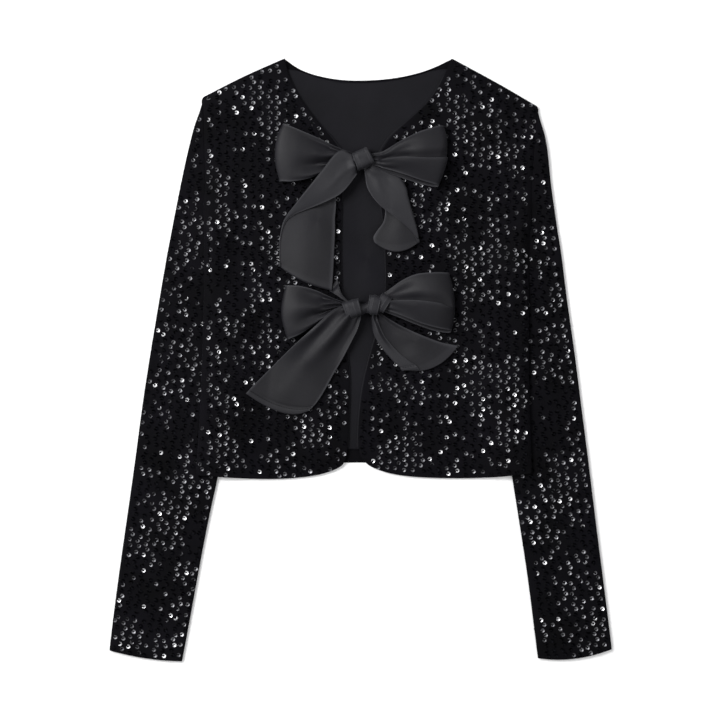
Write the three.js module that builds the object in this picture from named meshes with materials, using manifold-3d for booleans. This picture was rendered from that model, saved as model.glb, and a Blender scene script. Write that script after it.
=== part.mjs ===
// Cropped bolero jacket in sequined velvet, tied at the front by two wide satin bows, laid flat on its back.
// Millimetres. X runs to the viewer's right, which is the wearer's left.
// Y runs from hem to neck and Z up from the table.
// The origin is on the table under the middle of the laid-out jacket.
import * as THREE from "three";
import Module from "manifold-3d";
import { mergeVertices } from "three/addons/utils/BufferGeometryUtils.js";

const wasm = await Module();
wasm.setup();

// Thicknesses and gaps
const VELVET = 1.6; // sequined velvet, pile and all
const SATIN = 1.0; // ribbon, lining and facing
const SEAM = 0.3; // gap between neighbouring pieces

// Heights of the layers over the table
const LINING_LOW = VELVET + SEAM;
const FACING_LOW = LINING_LOW + SATIN + 0.35;
const FRONT_LOW = FACING_LOW + SATIN + 0.35;
const FRONT_HEM_LOW = 2.3;
const SLEEVE_HIGH = 5;
const BODY_RISE = SLEEVE_HIGH + 0.8; // the body lies over the sleeve below the underarm

// Where the body climbs over the sleeves
const RAMP = 34; // width of the slope beside the sleeve's fold
const RAMP_CLEAR = 4; // how far from that fold the slope ends
const RISE_FULL_Y = 124;
const RISE_NONE_Y = 188;
const FOLD_ROUND = 7; // how far in from a side or shoulder the front rounds down
const HEM_FALL = 14; // how far above its hem the front comes down

// Outlines, from the hem up or from the wearer's right to left
const RIGHT_SIDE = [
  { x: -180, y: -126 },
  { x: -175, y: -56 },
  { x: -172, y: 33 },
  { x: -170.2, y: 118 },
  { x: -170.7, y: 190 },
  { x: -171.7, y: 262 },
  { x: -173, y: 288 },
];
const LEFT_SIDE = [
  { x: 187, y: -124 },
  { x: 184, y: -44 },
  { x: 183, y: 66 },
  { x: 184, y: 128 },
  { x: 187.5, y: 190 },
  { x: 190.8, y: 240 },
  { x: 193.6, y: 278 },
];
const RIGHT_SHOULDER = [
  { x: -173, y: 288 },
  { x: -128, y: 311 },
  { x: -83, y: 331 },
];
const LEFT_SHOULDER = [
  { x: 99.5, y: 331 },
  { x: 150, y: 303.5 },
  { x: 193.6, y: 278 },
];
const BACK_NECK = [
  { x: -83, y: 331 },
  { x: -67, y: 319 },
  { x: -34, y: 309 },
  { x: 0, y: 307 },
  { x: 40, y: 310 },
  { x: 75, y: 319 },
  { x: 99.5, y: 331 },
];
const BACK_HEM = [
  { x: -180, y: -126 },
  { x: -95, y: -119 },
  { x: -5, y: -112 },
  { x: 95, y: -118 },
  { x: 187, y: -124 },
];
// The lining is modelled where the neck and the opening show it
const LINING_TOP = [
  { x: -104, y: 312 },
  { x: -84, y: 325 },
  { x: -67, y: 316.2 },
  { x: -34, y: 306.5 },
  { x: 0, y: 304.5 },
  { x: 40, y: 307.5 },
  { x: 75, y: 316.2 },
  { x: 100, y: 325 },
  { x: 118, y: 312 },
];
const LINING_HEM = [
  { x: -92, y: -98 },
  { x: 100, y: -98 },
];
const RIGHT_FRONT_HEM = [
  { x: -180, y: -126 },
  { x: -140, y: -129 },
  { x: -100, y: -130.5 },
  { x: -64, y: -128.5 },
  { x: -38, y: -124 },
  { x: -22, y: -117 },
];
const LEFT_FRONT_HEM = [
  { x: 11, y: -116 },
  { x: 32, y: -124.5 },
  { x: 67, y: -128.5 },
  { x: 110, y: -129.5 },
  { x: 150, y: -128 },
  { x: 187, y: -124 },
];
// A front's free edge: up the opening, then round the neck
const RIGHT_FRONT_EDGE = [
  { x: -22, y: -117 },
  { x: -15, y: -104 },
  { x: -13, y: -60 },
  { x: -12, y: -20 },
  { x: -17, y: 33 },
  { x: -21, y: 80 },
  { x: -22, y: 132 },
  { x: -20, y: 187 },
  { x: -15, y: 218 },
  { x: -28, y: 241 },
  { x: -46, y: 260 },
  { x: -68, y: 290 },
  { x: -78, y: 310 },
  { x: -83, y: 331 },
];
const LEFT_FRONT_EDGE = [
  { x: 11, y: -116 },
  { x: -2, y: -104 },
  { x: -3, y: -80 },
  { x: 2, y: -29 },
  { x: 15, y: 22 },
  { x: 27, y: 66 },
  { x: 27, y: 121 },
  { x: 22, y: 176 },
  { x: 16, y: 215 },
  { x: 32, y: 247 },
  { x: 61, y: 269 },
  { x: 83, y: 295 },
  { x: 93, y: 315 },
  { x: 99.5, y: 331 },
];

// Sleeves, a row for each section from the armhole to the cuff: its outer fold, its inner fold and its height
const RIGHT_SLEEVE = [
  { ox: -174.1, oy: 283, ix: -171.2, iy: 124, high: 4.6 },
  { ox: -184, oy: 254, ix: -171.6, iy: 118, high: 4.8 },
  { ox: -194, oy: 212, ix: -171.2, iy: 111, high: 5 },
  { ox: -203, oy: 168, ix: -169.2, iy: 102, high: 5 },
  { ox: -210.8, oy: 128, ix: -164.5, iy: 91, high: 5 },
  { ox: -216, oy: 99, ix: -156, iy: 78, high: 5 },
  { ox: -223, oy: 58, ix: -143, iy: 55, high: 5 },
  { ox: -231, oy: 10, ix: -137, iy: 14, high: 5 },
  { ox: -240, oy: -48, ix: -142, iy: -46, high: 5 },
  { ox: -248.4, oy: -112, ix: -153, iy: -112, high: 5 },
  { ox: -258.5, oy: -183, ix: -168, iy: -180, high: 4.9 },
  { ox: -268, oy: -250, ix: -181, iy: -250, high: 4.8 },
  { ox: -275, oy: -306, ix: -192, iy: -310, high: 4.7 },
  { ox: -276.3, oy: -319, ix: -196, iy: -331, high: 4.6 },
];
const LEFT_SLEEVE = [
  { ox: 194.8, oy: 274, ix: 185, iy: 130, high: 4.6 },
  { ox: 204.5, oy: 240, ix: 185.6, iy: 124, high: 4.8 },
  { ox: 208.5, oy: 200, ix: 185.2, iy: 117, high: 5 },
  { ox: 213, oy: 168, ix: 183.2, iy: 108.5, high: 5 },
  { ox: 217.5, oy: 138, ix: 178.5, iy: 98, high: 5 },
  { ox: 221.5, oy: 112, ix: 170, iy: 84, high: 5 },
  { ox: 227, oy: 67, ix: 157, iy: 60, high: 5 },
  { ox: 235.5, oy: 8, ix: 151, iy: 10, high: 5 },
  { ox: 243, oy: -52, ix: 154, iy: -52, high: 5 },
  { ox: 251, oy: -114, ix: 163.5, iy: -112, high: 5 },
  { ox: 259, oy: -180, ix: 174, iy: -178, high: 4.9 },
  { ox: 266.5, oy: -238, ix: 183.5, iy: -240, high: 4.8 },
  { ox: 274, oy: -298, ix: 191, iy: -300, high: 4.7 },
  { ox: 276.3, oy: -318, ix: 194.5, iy: -328, high: 4.6 },
];
// How far the cuff's edge bows past the straight line between its folds
const CUFF_BOW = { right: 2.5, left: 5 };

// Soft ridges on the fronts: middle, half length and half width of each, its height and its lean from upright
const FRONT_FOLDS = [
  { x: -146, y: 150, long: 80, wide: 13, high: 1.2, lean: 0.05 },
  { x: -118, y: 20, long: 90, wide: 18, high: 1.1, lean: 0.12 },
  { x: -60, y: -85, long: 34, wide: 15, high: 0.8, lean: -0.25 },
  { x: -112, y: 262, long: 32, wide: 16, high: 0.8, lean: -0.8 },
  { x: 152, y: 165, long: 62, wide: 13, high: 1.2, lean: -0.3 },
  { x: 138, y: 20, long: 95, wide: 18, high: 1.2, lean: -0.06 },
  { x: 62, y: -72, long: 38, wide: 15, high: 0.8, lean: 0.2 },
  { x: 118, y: 270, long: 32, wide: 16, high: 0.8, lean: 0.8 },
];
// Soft ridges along a sleeve: share across from its inner fold, share of the length where it runs,
// half width and height
const SLEEVE_FOLDS = [
  { across: 0.68, from: 0.05, to: 0.5, wide: 0.13, high: 0.9 },
  { across: 0.35, from: 0.4, to: 0.78, wide: 0.14, high: 0.8 },
  { across: 0.6, from: 0.66, to: 0.97, wide: 0.15, high: 0.9 },
];

// Bows. A loop's rows run from the knot along its top layer, round its end and back underneath.
// a, m and b are the upper edge, the middle and the lower edge, on the loop's inner face.
const UPPER_RIGHT_LOOP = [
  { a: [-6, 226, 11], m: [-6, 221, 12.5], b: [-6, 216, 10.8] },
  { a: [-26, 233.5, 12], m: [-29, 221, 13.5], b: [-32, 209, 11.5] },
  { a: [-45, 242.5, 14.5], m: [-50, 222, 17.5], b: [-55, 200, 13] },
  { a: [-67, 252, 16], m: [-71, 226, 20], b: [-74, 196, 15.5] },
  { a: [-81, 258, 15], m: [-87, 230, 18], b: [-85, 196, 14.5] },
  { a: [-84.5, 259, 12.3], m: [-93, 231, 13.8], b: [-88.5, 196, 12] },
  { a: [-82, 258, 9.8], m: [-90, 230, 10], b: [-86, 197, 9.6] },
  { a: [-66, 251, 8.8], m: [-71, 226, 8.8], b: [-73, 198, 8.8] },
  { a: [-45, 242, 8.8], m: [-50, 222, 8.8], b: [-54, 202, 8.8] },
  { a: [-26, 233, 8.8], m: [-29, 221, 8.8], b: [-32, 211, 8.8] },
  { a: [-6, 226, 8.8], m: [-6, 221, 8.8], b: [-6, 217, 8.8] },
];
const UPPER_LEFT_LOOP = [
  { a: [10, 226, 15], m: [10, 220, 17], b: [10, 215, 15] },
  { a: [24, 228, 16], m: [25, 219, 19], b: [26, 211, 16] },
  { a: [43, 239, 18], m: [45, 222, 22.5], b: [46, 205, 17.5] },
  { a: [65, 250, 19], m: [67, 223, 24.5], b: [66, 198, 18] },
  { a: [84, 256, 17], m: [88, 226, 21.5], b: [80, 193.5, 16] },
  { a: [90, 256.5, 13.8], m: [94, 228, 15.5], b: [84.5, 191.7, 13] },
  { a: [86, 255.5, 10.8], m: [91, 227, 11], b: [82, 190, 10.4] },
  { a: [65, 249, 10], m: [68, 222, 10], b: [67, 193, 10] },
  { a: [43, 238, 12.6], m: [46, 219, 12.6], b: [46, 199.5, 12.8] },
  { a: [24, 227, 13], m: [25, 217, 13], b: [26, 207, 13] },
  { a: [10, 225, 12.4], m: [10, 219, 12.4], b: [10, 213.5, 12.4] },
];
const LOWER_RIGHT_LOOP = [
  { a: [-14, 63, 11.6], m: [-14, 59.5, 12.4], b: [-14, 56, 11.2] },
  { a: [-24, 65.5, 12], m: [-25, 60, 13.2], b: [-25, 54, 11.6] },
  { a: [-36, 70.5, 13.2], m: [-38, 58, 14.6], b: [-40, 46, 12.2] },
  { a: [-48, 76, 15], m: [-52, 57, 18], b: [-54, 37, 13.6] },
  { a: [-65, 81, 16], m: [-69, 55, 20], b: [-67, 28.5, 15] },
  { a: [-78, 82, 15], m: [-82, 53, 17.5], b: [-77, 24, 13.6] },
  { a: [-81.5, 82, 12.2], m: [-86, 52, 13.4], b: [-79.5, 23, 11.6] },
  { a: [-78, 81.5, 9.8], m: [-83, 52, 10], b: [-77, 24, 9.6] },
  { a: [-60, 79, 8.8], m: [-64, 54, 8.8], b: [-62, 31, 8.8] },
  { a: [-38, 71, 8.8], m: [-40, 57, 8.8], b: [-41, 46, 8.8] },
  { a: [-24, 65, 8.8], m: [-25, 59.5, 8.8], b: [-25, 54.5, 8.8] },
  { a: [-14, 62.5, 8.8], m: [-14, 59.5, 8.8], b: [-14, 56.5, 8.8] },
];
const LOWER_LEFT_LOOP = [
  { a: [20, 70, 14], m: [20, 63, 16], b: [20, 57, 14] },
  { a: [31, 77, 15], m: [33, 65, 17.5], b: [35, 53.5, 14.8] },
  { a: [45, 87, 17], m: [48, 66, 20.5], b: [51, 47.5, 16.5] },
  { a: [61, 94, 19], m: [65, 67, 24], b: [67, 41, 18] },
  { a: [80, 96, 19], m: [86, 66, 24], b: [84, 36, 17.5] },
  { a: [93, 96, 16.5], m: [99, 64, 19.5], b: [95, 33.5, 15.4] },
  { a: [96.5, 95.5, 13.2], m: [102.5, 63, 14.2], b: [98.5, 32.5, 12.4] },
  { a: [93, 95, 10.6], m: [99.5, 62, 10.8], b: [96, 30, 10.2] },
  { a: [78, 94, 10], m: [82, 62, 10], b: [80, 32.5, 10] },
  { a: [56, 90, 10.4], m: [60, 64, 10.4], b: [60, 39.5, 10.8] },
  { a: [38, 80, 12], m: [40, 64, 12], b: [42, 47, 12.4] },
  { a: [20, 70, 12], m: [20, 62, 12], b: [20, 55, 12] },
];
// The lengthwise crease in each loop's top layer: share across, half width, depth, and how far out it runs
const LOOP_CREASES = {
  upperRight: { across: 0.62, wide: 0.2, deep: 1.6, reach: 0.3 },
  upperLeft: { across: 0.42, wide: 0.17, deep: 4, reach: 0.34 },
  lowerRight: { across: 0.55, wide: 0.18, deep: 2.2, reach: 0.3 },
  lowerLeft: { across: 0.42, wide: 0.17, deep: 4, reach: 0.32 },
};

// A folded tail's rows run from the knot to its cut end: free edge of the turned layer, the fold,
// the middle of the layer below and that layer's far edge. "turn" is half the height of the fold.
const UPPER_RIGHT_TAIL = [
  { free: [-4, 204, 15.5], fold: [-9, 226, 18.6], mid: [-6, 216, 15.4], far: [-4, 210, 14.8], turn: 1.1 },
  { free: [-15, 189, 17], fold: [-24, 228.5, 19.4], mid: [-20, 216, 16.6], far: [-17, 205, 15.4], turn: 1.3 },
  { free: [-25, 180, 17], fold: [-42, 208, 20], mid: [-34, 202, 16.4], far: [-27, 193, 14], turn: 1.4 },
  { free: [-44, 171, 15.6], fold: [-60, 185.5, 17.4], mid: [-42, 182, 12.6], far: [-27, 178, 10.4], turn: 1.4 },
  { free: [-60, 165, 13.6], fold: [-71, 171.5, 13.6], mid: [-48, 169, 10], far: [-27, 168, 9.2], turn: 1.3 },
  { free: [-74, 159, 11.6], fold: [-80, 160, 11], mid: [-54, 158, 9.4], far: [-28, 156, 9], turn: 1 },
  { free: [-83, 150, 9.8], fold: [-85.5, 149, 9.4], mid: [-57, 145, 9.6], far: [-28, 141, 9], turn: 0.5 },
  { free: [-88, 133, 9.2], fold: [-88.7, 131, 9.1], mid: [-59, 124, 10], far: [-29, 119, 9], turn: 0.2 },
  { free: [-88.6, 116, 9.1], fold: [-89.3, 115, 9], mid: [-60, 105, 10], far: [-30, 97, 9], turn: 0.2 },
  { free: [-88, 103.5, 9.1], fold: [-88.7, 102.5, 9], mid: [-61, 85.5, 9.4], far: [-31.5, 76.5, 9], turn: 0.2 },
];
const UPPER_LEFT_TAIL = [
  { free: [3, 214, 9.8], fold: [14, 216, 9.8], mid: [11, 215, 8.9], far: [8, 214, 8.9], turn: 0.35 },
  { free: [5, 202, 10.4], fold: [38, 205, 10], mid: [30, 204, 8.9], far: [20, 203, 8.9], turn: 0.4 },
  { free: [7, 190, 12], fold: [49, 191, 11], mid: [38, 190, 8.9], far: [24, 190, 8.9], turn: 1 },
  { free: [13, 179, 13.4], fold: [52, 179, 11.6], mid: [40, 178, 8.9], far: [26, 178, 8.9], turn: 1.2 },
  { free: [23, 168, 14], fold: [55.5, 166, 12], mid: [42, 165, 8.9], far: [27, 165, 8.9], turn: 1.4 },
  { free: [36, 158.5, 13.4], fold: [59, 153.5, 11.8], mid: [42, 152, 9], far: [25, 152, 8.9], turn: 1.3 },
  { free: [47, 150, 12.2], fold: [62, 142, 11], mid: [40, 141, 9.4], far: [18, 142, 9], turn: 1 },
  { free: [57, 140, 10.6], fold: [63.5, 134, 10], mid: [39, 130, 9.6], far: [14, 135, 9], turn: 0.6 },
  { free: [62.5, 131, 9.6], fold: [63.8, 129, 9.3], mid: [38.5, 119, 9.2], far: [15, 129.5, 9], turn: 0.3 },
];
const LOWER_LEFT_TAIL = [
  { free: [17, 51, 11], fold: [12, 51, 10.2], mid: [16, 52, 8.9], far: [22, 52, 8.9], turn: 0.8 },
  { free: [19, 43, 11.4], fold: [11.5, 43, 10.2], mid: [20, 44.5, 8.9], far: [30, 46, 8.9], turn: 0.9 },
  { free: [26, 27, 11.4], fold: [14, 28, 10.2], mid: [29, 32, 9.1], far: [46, 37, 8.9], turn: 1 },
  { free: [38, 12, 11.2], fold: [24, 13, 10.1], mid: [44, 20, 9.6], far: [65, 28.5, 8.9], turn: 1 },
  { free: [50, 1.5, 10.9], fold: [36, -1, 10], mid: [61, 8, 9.8], far: [86, 20.5, 8.9], turn: 0.8 },
  { free: [60, -5.5, 10.4], fold: [43.5, -8, 9.7], mid: [72, -1, 9.4], far: [99, 17.5, 8.9], turn: 0.6 },
  { free: [64, -10, 9.9], fold: [46.5, -11, 9.4], mid: [81, -7.5, 9], far: [107, 16, 8.9], turn: 0.4 },
];
// A plain tail: upper edge, middle and lower edge, on its underside
const LOWER_RIGHT_TAIL = [
  { a: [-10, 60, 16], m: [-5, 54.5, 17], b: [0, 49, 14.5] },
  { a: [-21, 59, 17], m: [-11, 52, 18], b: [-1, 43, 14] },
  { a: [-32, 53.5, 17.4], m: [-20, 43, 18], b: [-4, 33, 12.6] },
  { a: [-45, 42, 18.2], m: [-31, 30, 16.4], b: [-10, 21, 11] },
  { a: [-57, 31, 18], m: [-42, 17, 13.6], b: [-16, 9, 9.8] },
  { a: [-70, 19.5, 14.6], m: [-51, 6, 11.4], b: [-22, -2, 9] },
  { a: [-82, 8, 11.2], m: [-61, -6, 9.8], b: [-29, -14, 8.6] },
  { a: [-96, -6, 9], m: [-72, -20, 9.4], b: [-36, -27, 8.4] },
  { a: [-109, -19, 8.4], m: [-80, -33, 9.6], b: [-43, -39, 8.3] },
  { a: [-119, -29, 8.3], m: [-84, -46, 9.4], b: [-50, -48.5, 8.3] },
  { a: [-125.5, -36.5, 8.2], m: [-86, -57.5, 8.6], b: [-57, -55, 8.2] },
];
// Ties: the ribbon between a front's edge and the knot
const UPPER_RIGHT_TIE = [
  { a: [-30, 230, 6.6], m: [-31, 222, 6.6], b: [-30, 214, 6.6] },
  { a: [-19, 229, 6.6], m: [-19, 221.5, 6.7], b: [-19, 214, 6.6] },
  { a: [-6, 226, 6.6], m: [-6, 221, 6.7], b: [-6, 216, 6.6] },
];
const UPPER_LEFT_TIE = [
  { a: [10, 226, 6.6], m: [10, 221, 6.7], b: [10, 216, 6.6] },
  { a: [22, 229, 6.6], m: [22, 221.5, 6.7], b: [22, 214, 6.6] },
  { a: [33, 230, 6.6], m: [34, 222, 6.6], b: [33, 214, 6.6] },
];
const LOWER_RIGHT_TIE = [
  { a: [-25.5, 89, 6.6], m: [-30, 83, 6.6], b: [-34.5, 76, 6.6] },
  { a: [-24.5, 84.5, 7.6], m: [-28, 80, 7.2], b: [-32, 74.8, 6.8] },
  { a: [-23.5, 80, 10.6], m: [-26.5, 76.5, 11], b: [-30, 73.6, 10.4] },
  { a: [-20, 71, 12.8], m: [-20.5, 69.5, 13], b: [-21.5, 68.2, 12.6] },
  { a: [-12, 63.5, 13.6], m: [-12, 62.5, 13.8], b: [-12, 61.5, 13.6] },
];
const LOWER_LEFT_TIE = [
  { a: [20, 68, 6.6], m: [20, 62, 6.7], b: [20, 56, 6.6] },
  { a: [33, 71, 6.6], m: [33, 63, 6.7], b: [33, 55, 6.6] },
  { a: [44, 72, 6.6], m: [45, 63.5, 6.6], b: [44, 55, 6.6] },
];

// Knots, a row for each section along X: its middle and its half height along Y and Z
const UPPER_KNOT = [
  { x: -10.5, y: 221, z: 14, tall: 6.5, deep: 5.5 },
  { x: -7.5, y: 220.5, z: 14.2, tall: 9, deep: 7.6 },
  { x: -1, y: 220.5, z: 14.6, tall: 9.8, deep: 8.8 },
  { x: 6, y: 221.5, z: 14.6, tall: 10.6, deep: 8.8 },
  { x: 11.5, y: 220, z: 14.2, tall: 8.4, deep: 7.4 },
  { x: 14.5, y: 219.5, z: 14, tall: 5.6, deep: 5.2 },
];
const LOWER_KNOT = [
  { x: -20.5, y: 61, z: 13.6, tall: 4.5, deep: 4.2 },
  { x: -17, y: 58.5, z: 13.8, tall: 7.4, deep: 6.6 },
  { x: -8, y: 56.5, z: 14, tall: 9, deep: 8.2 },
  { x: 1, y: 55.5, z: 13.6, tall: 7.4, deep: 7.2 },
  { x: 6.5, y: 57.5, z: 13.4, tall: 6.8, deep: 6.6 },
  { x: 12, y: 60, z: 14, tall: 9.8, deep: 8 },
  { x: 20, y: 61.5, z: 14.2, tall: 11.2, deep: 8.6 },
  { x: 27, y: 63.5, z: 14, tall: 10, deep: 7.6 },
  { x: 31, y: 65, z: 13.8, tall: 7, deep: 5 },
];

// Mesh fineness: cells along and across
const FRONT_ACROSS = [0, 0.012, 0.035, 0.07, 0.12, 0.18, 0.25, 0.33, 0.42, 0.53, 0.65, 0.77, 0.89, 1];
const FRONT_ALONG = [
  0, 0.012, 0.032, 0.07, 0.13, 0.2, 0.27, 0.34, 0.4, 0.46, 0.51, 0.555,
  0.6, 0.645, 0.69, 0.75, 0.81, 0.87, 0.92, 0.96, 0.984, 0.994, 1,
];
const BACK_SHOULDER = { right: 0.246, left: 0.744 }; // where the neck starts and ends along the top edge
const BACK_ACROSS = [
  0, 0.01, 0.025, 0.045, 0.07, 0.095, 0.12, 0.145, 0.175, 0.21, 0.246, 0.29, 0.345, 0.42, 0.5,
  0.58, 0.65, 0.7, 0.744, 0.79, 0.825, 0.855, 0.88, 0.905, 0.93, 0.955, 0.975, 0.99, 1,
];
const BACK_ALONG = [0, 0.1, 0.2, 0.3, 0.4, 0.47, 0.53, 0.575, 0.62, 0.665, 0.71, 0.76, 0.85, 0.93, 1];
const LINING_CELLS = { across: 8, along: 6 };
const FACING_CELLS = { across: 2, along: 26 };
const SLEEVE_CELLS = { along: 26, top: 8, fold: 3, under: 5 };
const LOOP_CELLS = { across: 6, along: 20 };
const TAIL_CELLS = { across: 6, along: 14 };
const FOLDED_TAIL_CELLS = { layer: 4, along: 15 };
const TIE_CELLS = { across: 2, along: 4 };
const KNOT_CELLS = { around: 16, along: 12 };

// The facing under a front's free edge: how far past it, how wide, and its share of that edge
const FACING = { past: 1.2, width: 12, from: 0.05, to: 0.962 };

const clamp01 = (t) => Math.min(1, Math.max(0, t));
const mix = (a, b, t) => a + (b - a) * t;
const smooth = (t) => clamp01(t) ** 2 * (3 - 2 * clamp01(t));
const bump = (d) => Math.exp(-d * d);

// A smooth outline through a table's x and y, by its length from 0 to 1
function outline(rows) {
  const curve = new THREE.SplineCurve(rows.map(({ x, y }) => new THREE.Vector2(x, y)));
  return (t) => curve.getPointAt(clamp01(t));
}

// A smooth path through one point of each row, by row from 0 to 1
function path(points) {
  const places = points.map((p) => new THREE.Vector3(...p));
  const curve = new THREE.CatmullRomCurve3(places, false, "catmullrom", 0.5);
  return (t) => curve.getPoint(clamp01(t));
}

// A column's value at any y of a table whose rows run in y
function columnAt(rows, key, by, value) {
  const sorted = [...rows].sort((p, q) => p[by] - q[by]);
  const next = sorted.findIndex((row) => row[by] >= value);
  if (next < 0) return sorted.at(-1)[key];
  if (next === 0) return sorted[0][key];
  const [low, high] = [sorted[next - 1], sorted[next]];
  return mix(low[key], high[key], (value - low[by]) / (high[by] - low[by]));
}

// The flat patch between four outlines: hem below, top above, and a side at u = 0 and at u = 1
function patch(hem, top, sideA, sideB) {
  const corner = [hem(0), hem(1), top(0), top(1)];
  return (u, v) => {
    const between = (key) =>
      mix(hem(u)[key], top(u)[key], v) +
      mix(sideA(v)[key], sideB(v)[key], u) -
      mix(mix(corner[0][key], corner[1][key], u), mix(corner[2][key], corner[3][key], u), v);
    return { x: between("x"), y: between("y") };
  };
}

// How far the body is lifted by the sleeve under it
function rise(x, y) {
  const rightFold = columnAt(RIGHT_SLEEVE, "ix", "iy", y);
  const leftFold = columnAt(LEFT_SLEEVE, "ix", "iy", y);
  const from = RAMP + RAMP_CLEAR;
  const over = Math.max(smooth((rightFold + from - x) / RAMP), smooth((x - leftFold + from) / RAMP));
  return BODY_RISE * over * smooth((RISE_NONE_Y - y) / (RISE_NONE_Y - RISE_FULL_Y));
}

const foldHeight = (x, y) =>
  FRONT_FOLDS.reduce((sum, fold) => {
    const along = y - fold.y;
    const across = x - fold.x - along * fold.lean;
    return sum + fold.high * bump(along / fold.long) * bump(across / fold.wide);
  }, 0);

// How far the fronts' ridges and the sleeves lift a ribbon that lies on them
const frontRelief = (x, y) => rise(x, y) + foldHeight(x, y);

// The front's underside at a point that lies "side" in from the side seam, "shoulder" from the shoulder
// and "hem" up from the hem
function frontLow(x, y, { side, shoulder, hem }) {
  const round = (d) => Math.sqrt(1 - (1 - clamp01(d / FOLD_ROUND)) ** 2);
  const seat = VELVET + SEAM;
  const full = mix(FRONT_HEM_LOW, FRONT_LOW, smooth(hem / HEM_FALL));
  const free = full + foldHeight(x, y) * smooth(hem / HEM_FALL);
  return rise(x, y) + seat + (free - seat) * round(side) * round(shoulder);
}

// A closed solid between two grids of points. "ring" joins each row's last point to its first.
function shell(outer, inner, ring = false) {
  const rows = outer.length;
  const columns = outer[0].length;
  const positions = [...outer.flat(), ...inner.flat()].flatMap((p) => [p.x, p.y, p.z]);
  const at = (layer, row, column) => layer * rows * columns + row * columns + (column % columns);
  const index = [];
  const quad = (a, b, c, d) => index.push(a, b, c, a, c, d);
  const spans = ring ? columns : columns - 1;
  for (let row = 0; row < rows - 1; row++) {
    for (let column = 0; column < spans; column++) {
      quad(at(0, row, column), at(0, row, column + 1), at(0, row + 1, column + 1), at(0, row + 1, column));
      quad(at(1, row, column), at(1, row + 1, column), at(1, row + 1, column + 1), at(1, row, column + 1));
    }
  }
  const end = rows - 1;
  for (let column = 0; column < spans; column++) {
    quad(at(1, 0, column), at(1, 0, column + 1), at(0, 0, column + 1), at(0, 0, column));
    quad(at(0, end, column), at(0, end, column + 1), at(1, end, column + 1), at(1, end, column));
  }
  for (let row = 0; row < rows - 1 && !ring; row++) {
    quad(at(0, row, 0), at(0, row + 1, 0), at(1, row + 1, 0), at(1, row, 0));
    const last = columns - 1;
    quad(at(1, row, last), at(1, row + 1, last), at(0, row + 1, last), at(0, row, last));
  }
  return facingOut(positions, index);
}

// A geometry from positions and triangles, turned so that its faces point outwards
function facingOut(positions, index) {
  const corner = (i) => new THREE.Vector3().fromArray(positions, 3 * i);
  let volume = 0;
  for (let i = 0; i < index.length; i += 3) {
    volume += corner(index[i]).dot(corner(index[i + 1]).cross(corner(index[i + 2])));
  }
  const turned = volume < 0 ? [...index].reverse() : index;
  const geometry = new THREE.BufferGeometry();
  geometry.setAttribute("position", new THREE.Float32BufferAttribute(positions, 3));
  geometry.setIndex(turned);
  return geometry;
}

// The same grid moved out along its own normals, upwards where it starts
function movedOut(grid, distance) {
  const rows = grid.length;
  const columns = grid[0].length;
  const normals = grid.map((row, j) =>
    row.map((_, i) => {
      const along = grid[Math.min(j + 1, rows - 1)][i].clone().sub(grid[Math.max(j - 1, 0)][i]);
      const across = row[Math.min(i + 1, columns - 1)].clone().sub(row[Math.max(i - 1, 0)]);
      return across.cross(along).normalize();
    }),
  );
  const signed = distance * Math.sign(normals[0][0].z);
  return grid.map((row, j) => row.map((point, i) => point.clone().addScaledVector(normals[j][i], signed)));
}

const evenly = (count) => Array.from({ length: count + 1 }, (_, i) => i / count);

const grid = (along, across, pointAt) => along.map((v) => across.map((u) => pointAt(u, v)));

// A cloth panel of even thickness on a patch, with its underside at lowAt
function panel(across, along, at, lowAt, thickness) {
  const low = grid(along, across, (u, v) => {
    const { x, y } = at(u, v);
    return new THREE.Vector3(x, y, lowAt(x, y, u, v));
  });
  return shell(movedOut(low, thickness), low);
}

// The back's top edge: shoulder, neck and shoulder
function backTop() {
  const parts = [outline(RIGHT_SHOULDER), outline(BACK_NECK), outline(LEFT_SHOULDER)];
  const starts = [0, BACK_SHOULDER.right, BACK_SHOULDER.left, 1];
  return (u) => {
    const part = u < starts[1] ? 0 : u <= starts[2] ? 1 : 2;
    return parts[part]((u - starts[part]) / (starts[part + 1] - starts[part]));
  };
}

function back() {
  const at = patch(outline(BACK_HEM), backTop(), outline(RIGHT_SIDE), outline(LEFT_SIDE));
  return panel(BACK_ACROSS, BACK_ALONG, at, rise, VELVET);
}

function backLining() {
  const side = (end) => outline([LINING_HEM.at(end), LINING_TOP.at(end)]);
  const at = patch(outline(LINING_HEM), outline(LINING_TOP), side(0), side(-1));
  return panel(evenly(LINING_CELLS.across), evenly(LINING_CELLS.along), at, () => LINING_LOW, SATIN);
}

// A front, from its side seam at u = 0 to its free edge at u = 1
function front(hem, shoulder, side, edge) {
  const at = patch(hem, shoulder, side, edge);
  return panel(FRONT_ACROSS, FRONT_ALONG, at, (x, y, u, v) => {
    const [fromSide, fromShoulder, fromHem] = [at(0, v), at(u, 1), at(u, 0)];
    return frontLow(x, y, {
      side: Math.hypot(x - fromSide.x, y - fromSide.y),
      shoulder: Math.hypot(x - fromShoulder.x, y - fromShoulder.y),
      hem: Math.hypot(x - fromHem.x, y - fromHem.y),
    });
  }, VELVET);
}

// The satin facing that shows as a narrow line along a front's free edge.
// "out" is +1 where the opening is at +X.
function facing(edgeRows, out) {
  const edge = outline(edgeRows);
  const at = (u, v) => {
    const t = mix(FACING.from, FACING.to, v);
    const here = edge(t);
    const ahead = edge(t + 0.01).sub(edge(t - 0.01)).normalize();
    const past = mix(-FACING.width, FACING.past, u);
    return { x: here.x + out * ahead.y * past, y: here.y - out * ahead.x * past };
  };
  return panel(evenly(FACING_CELLS.across), evenly(FACING_CELLS.along), at, () => FACING_LOW, SATIN);
}

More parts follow.
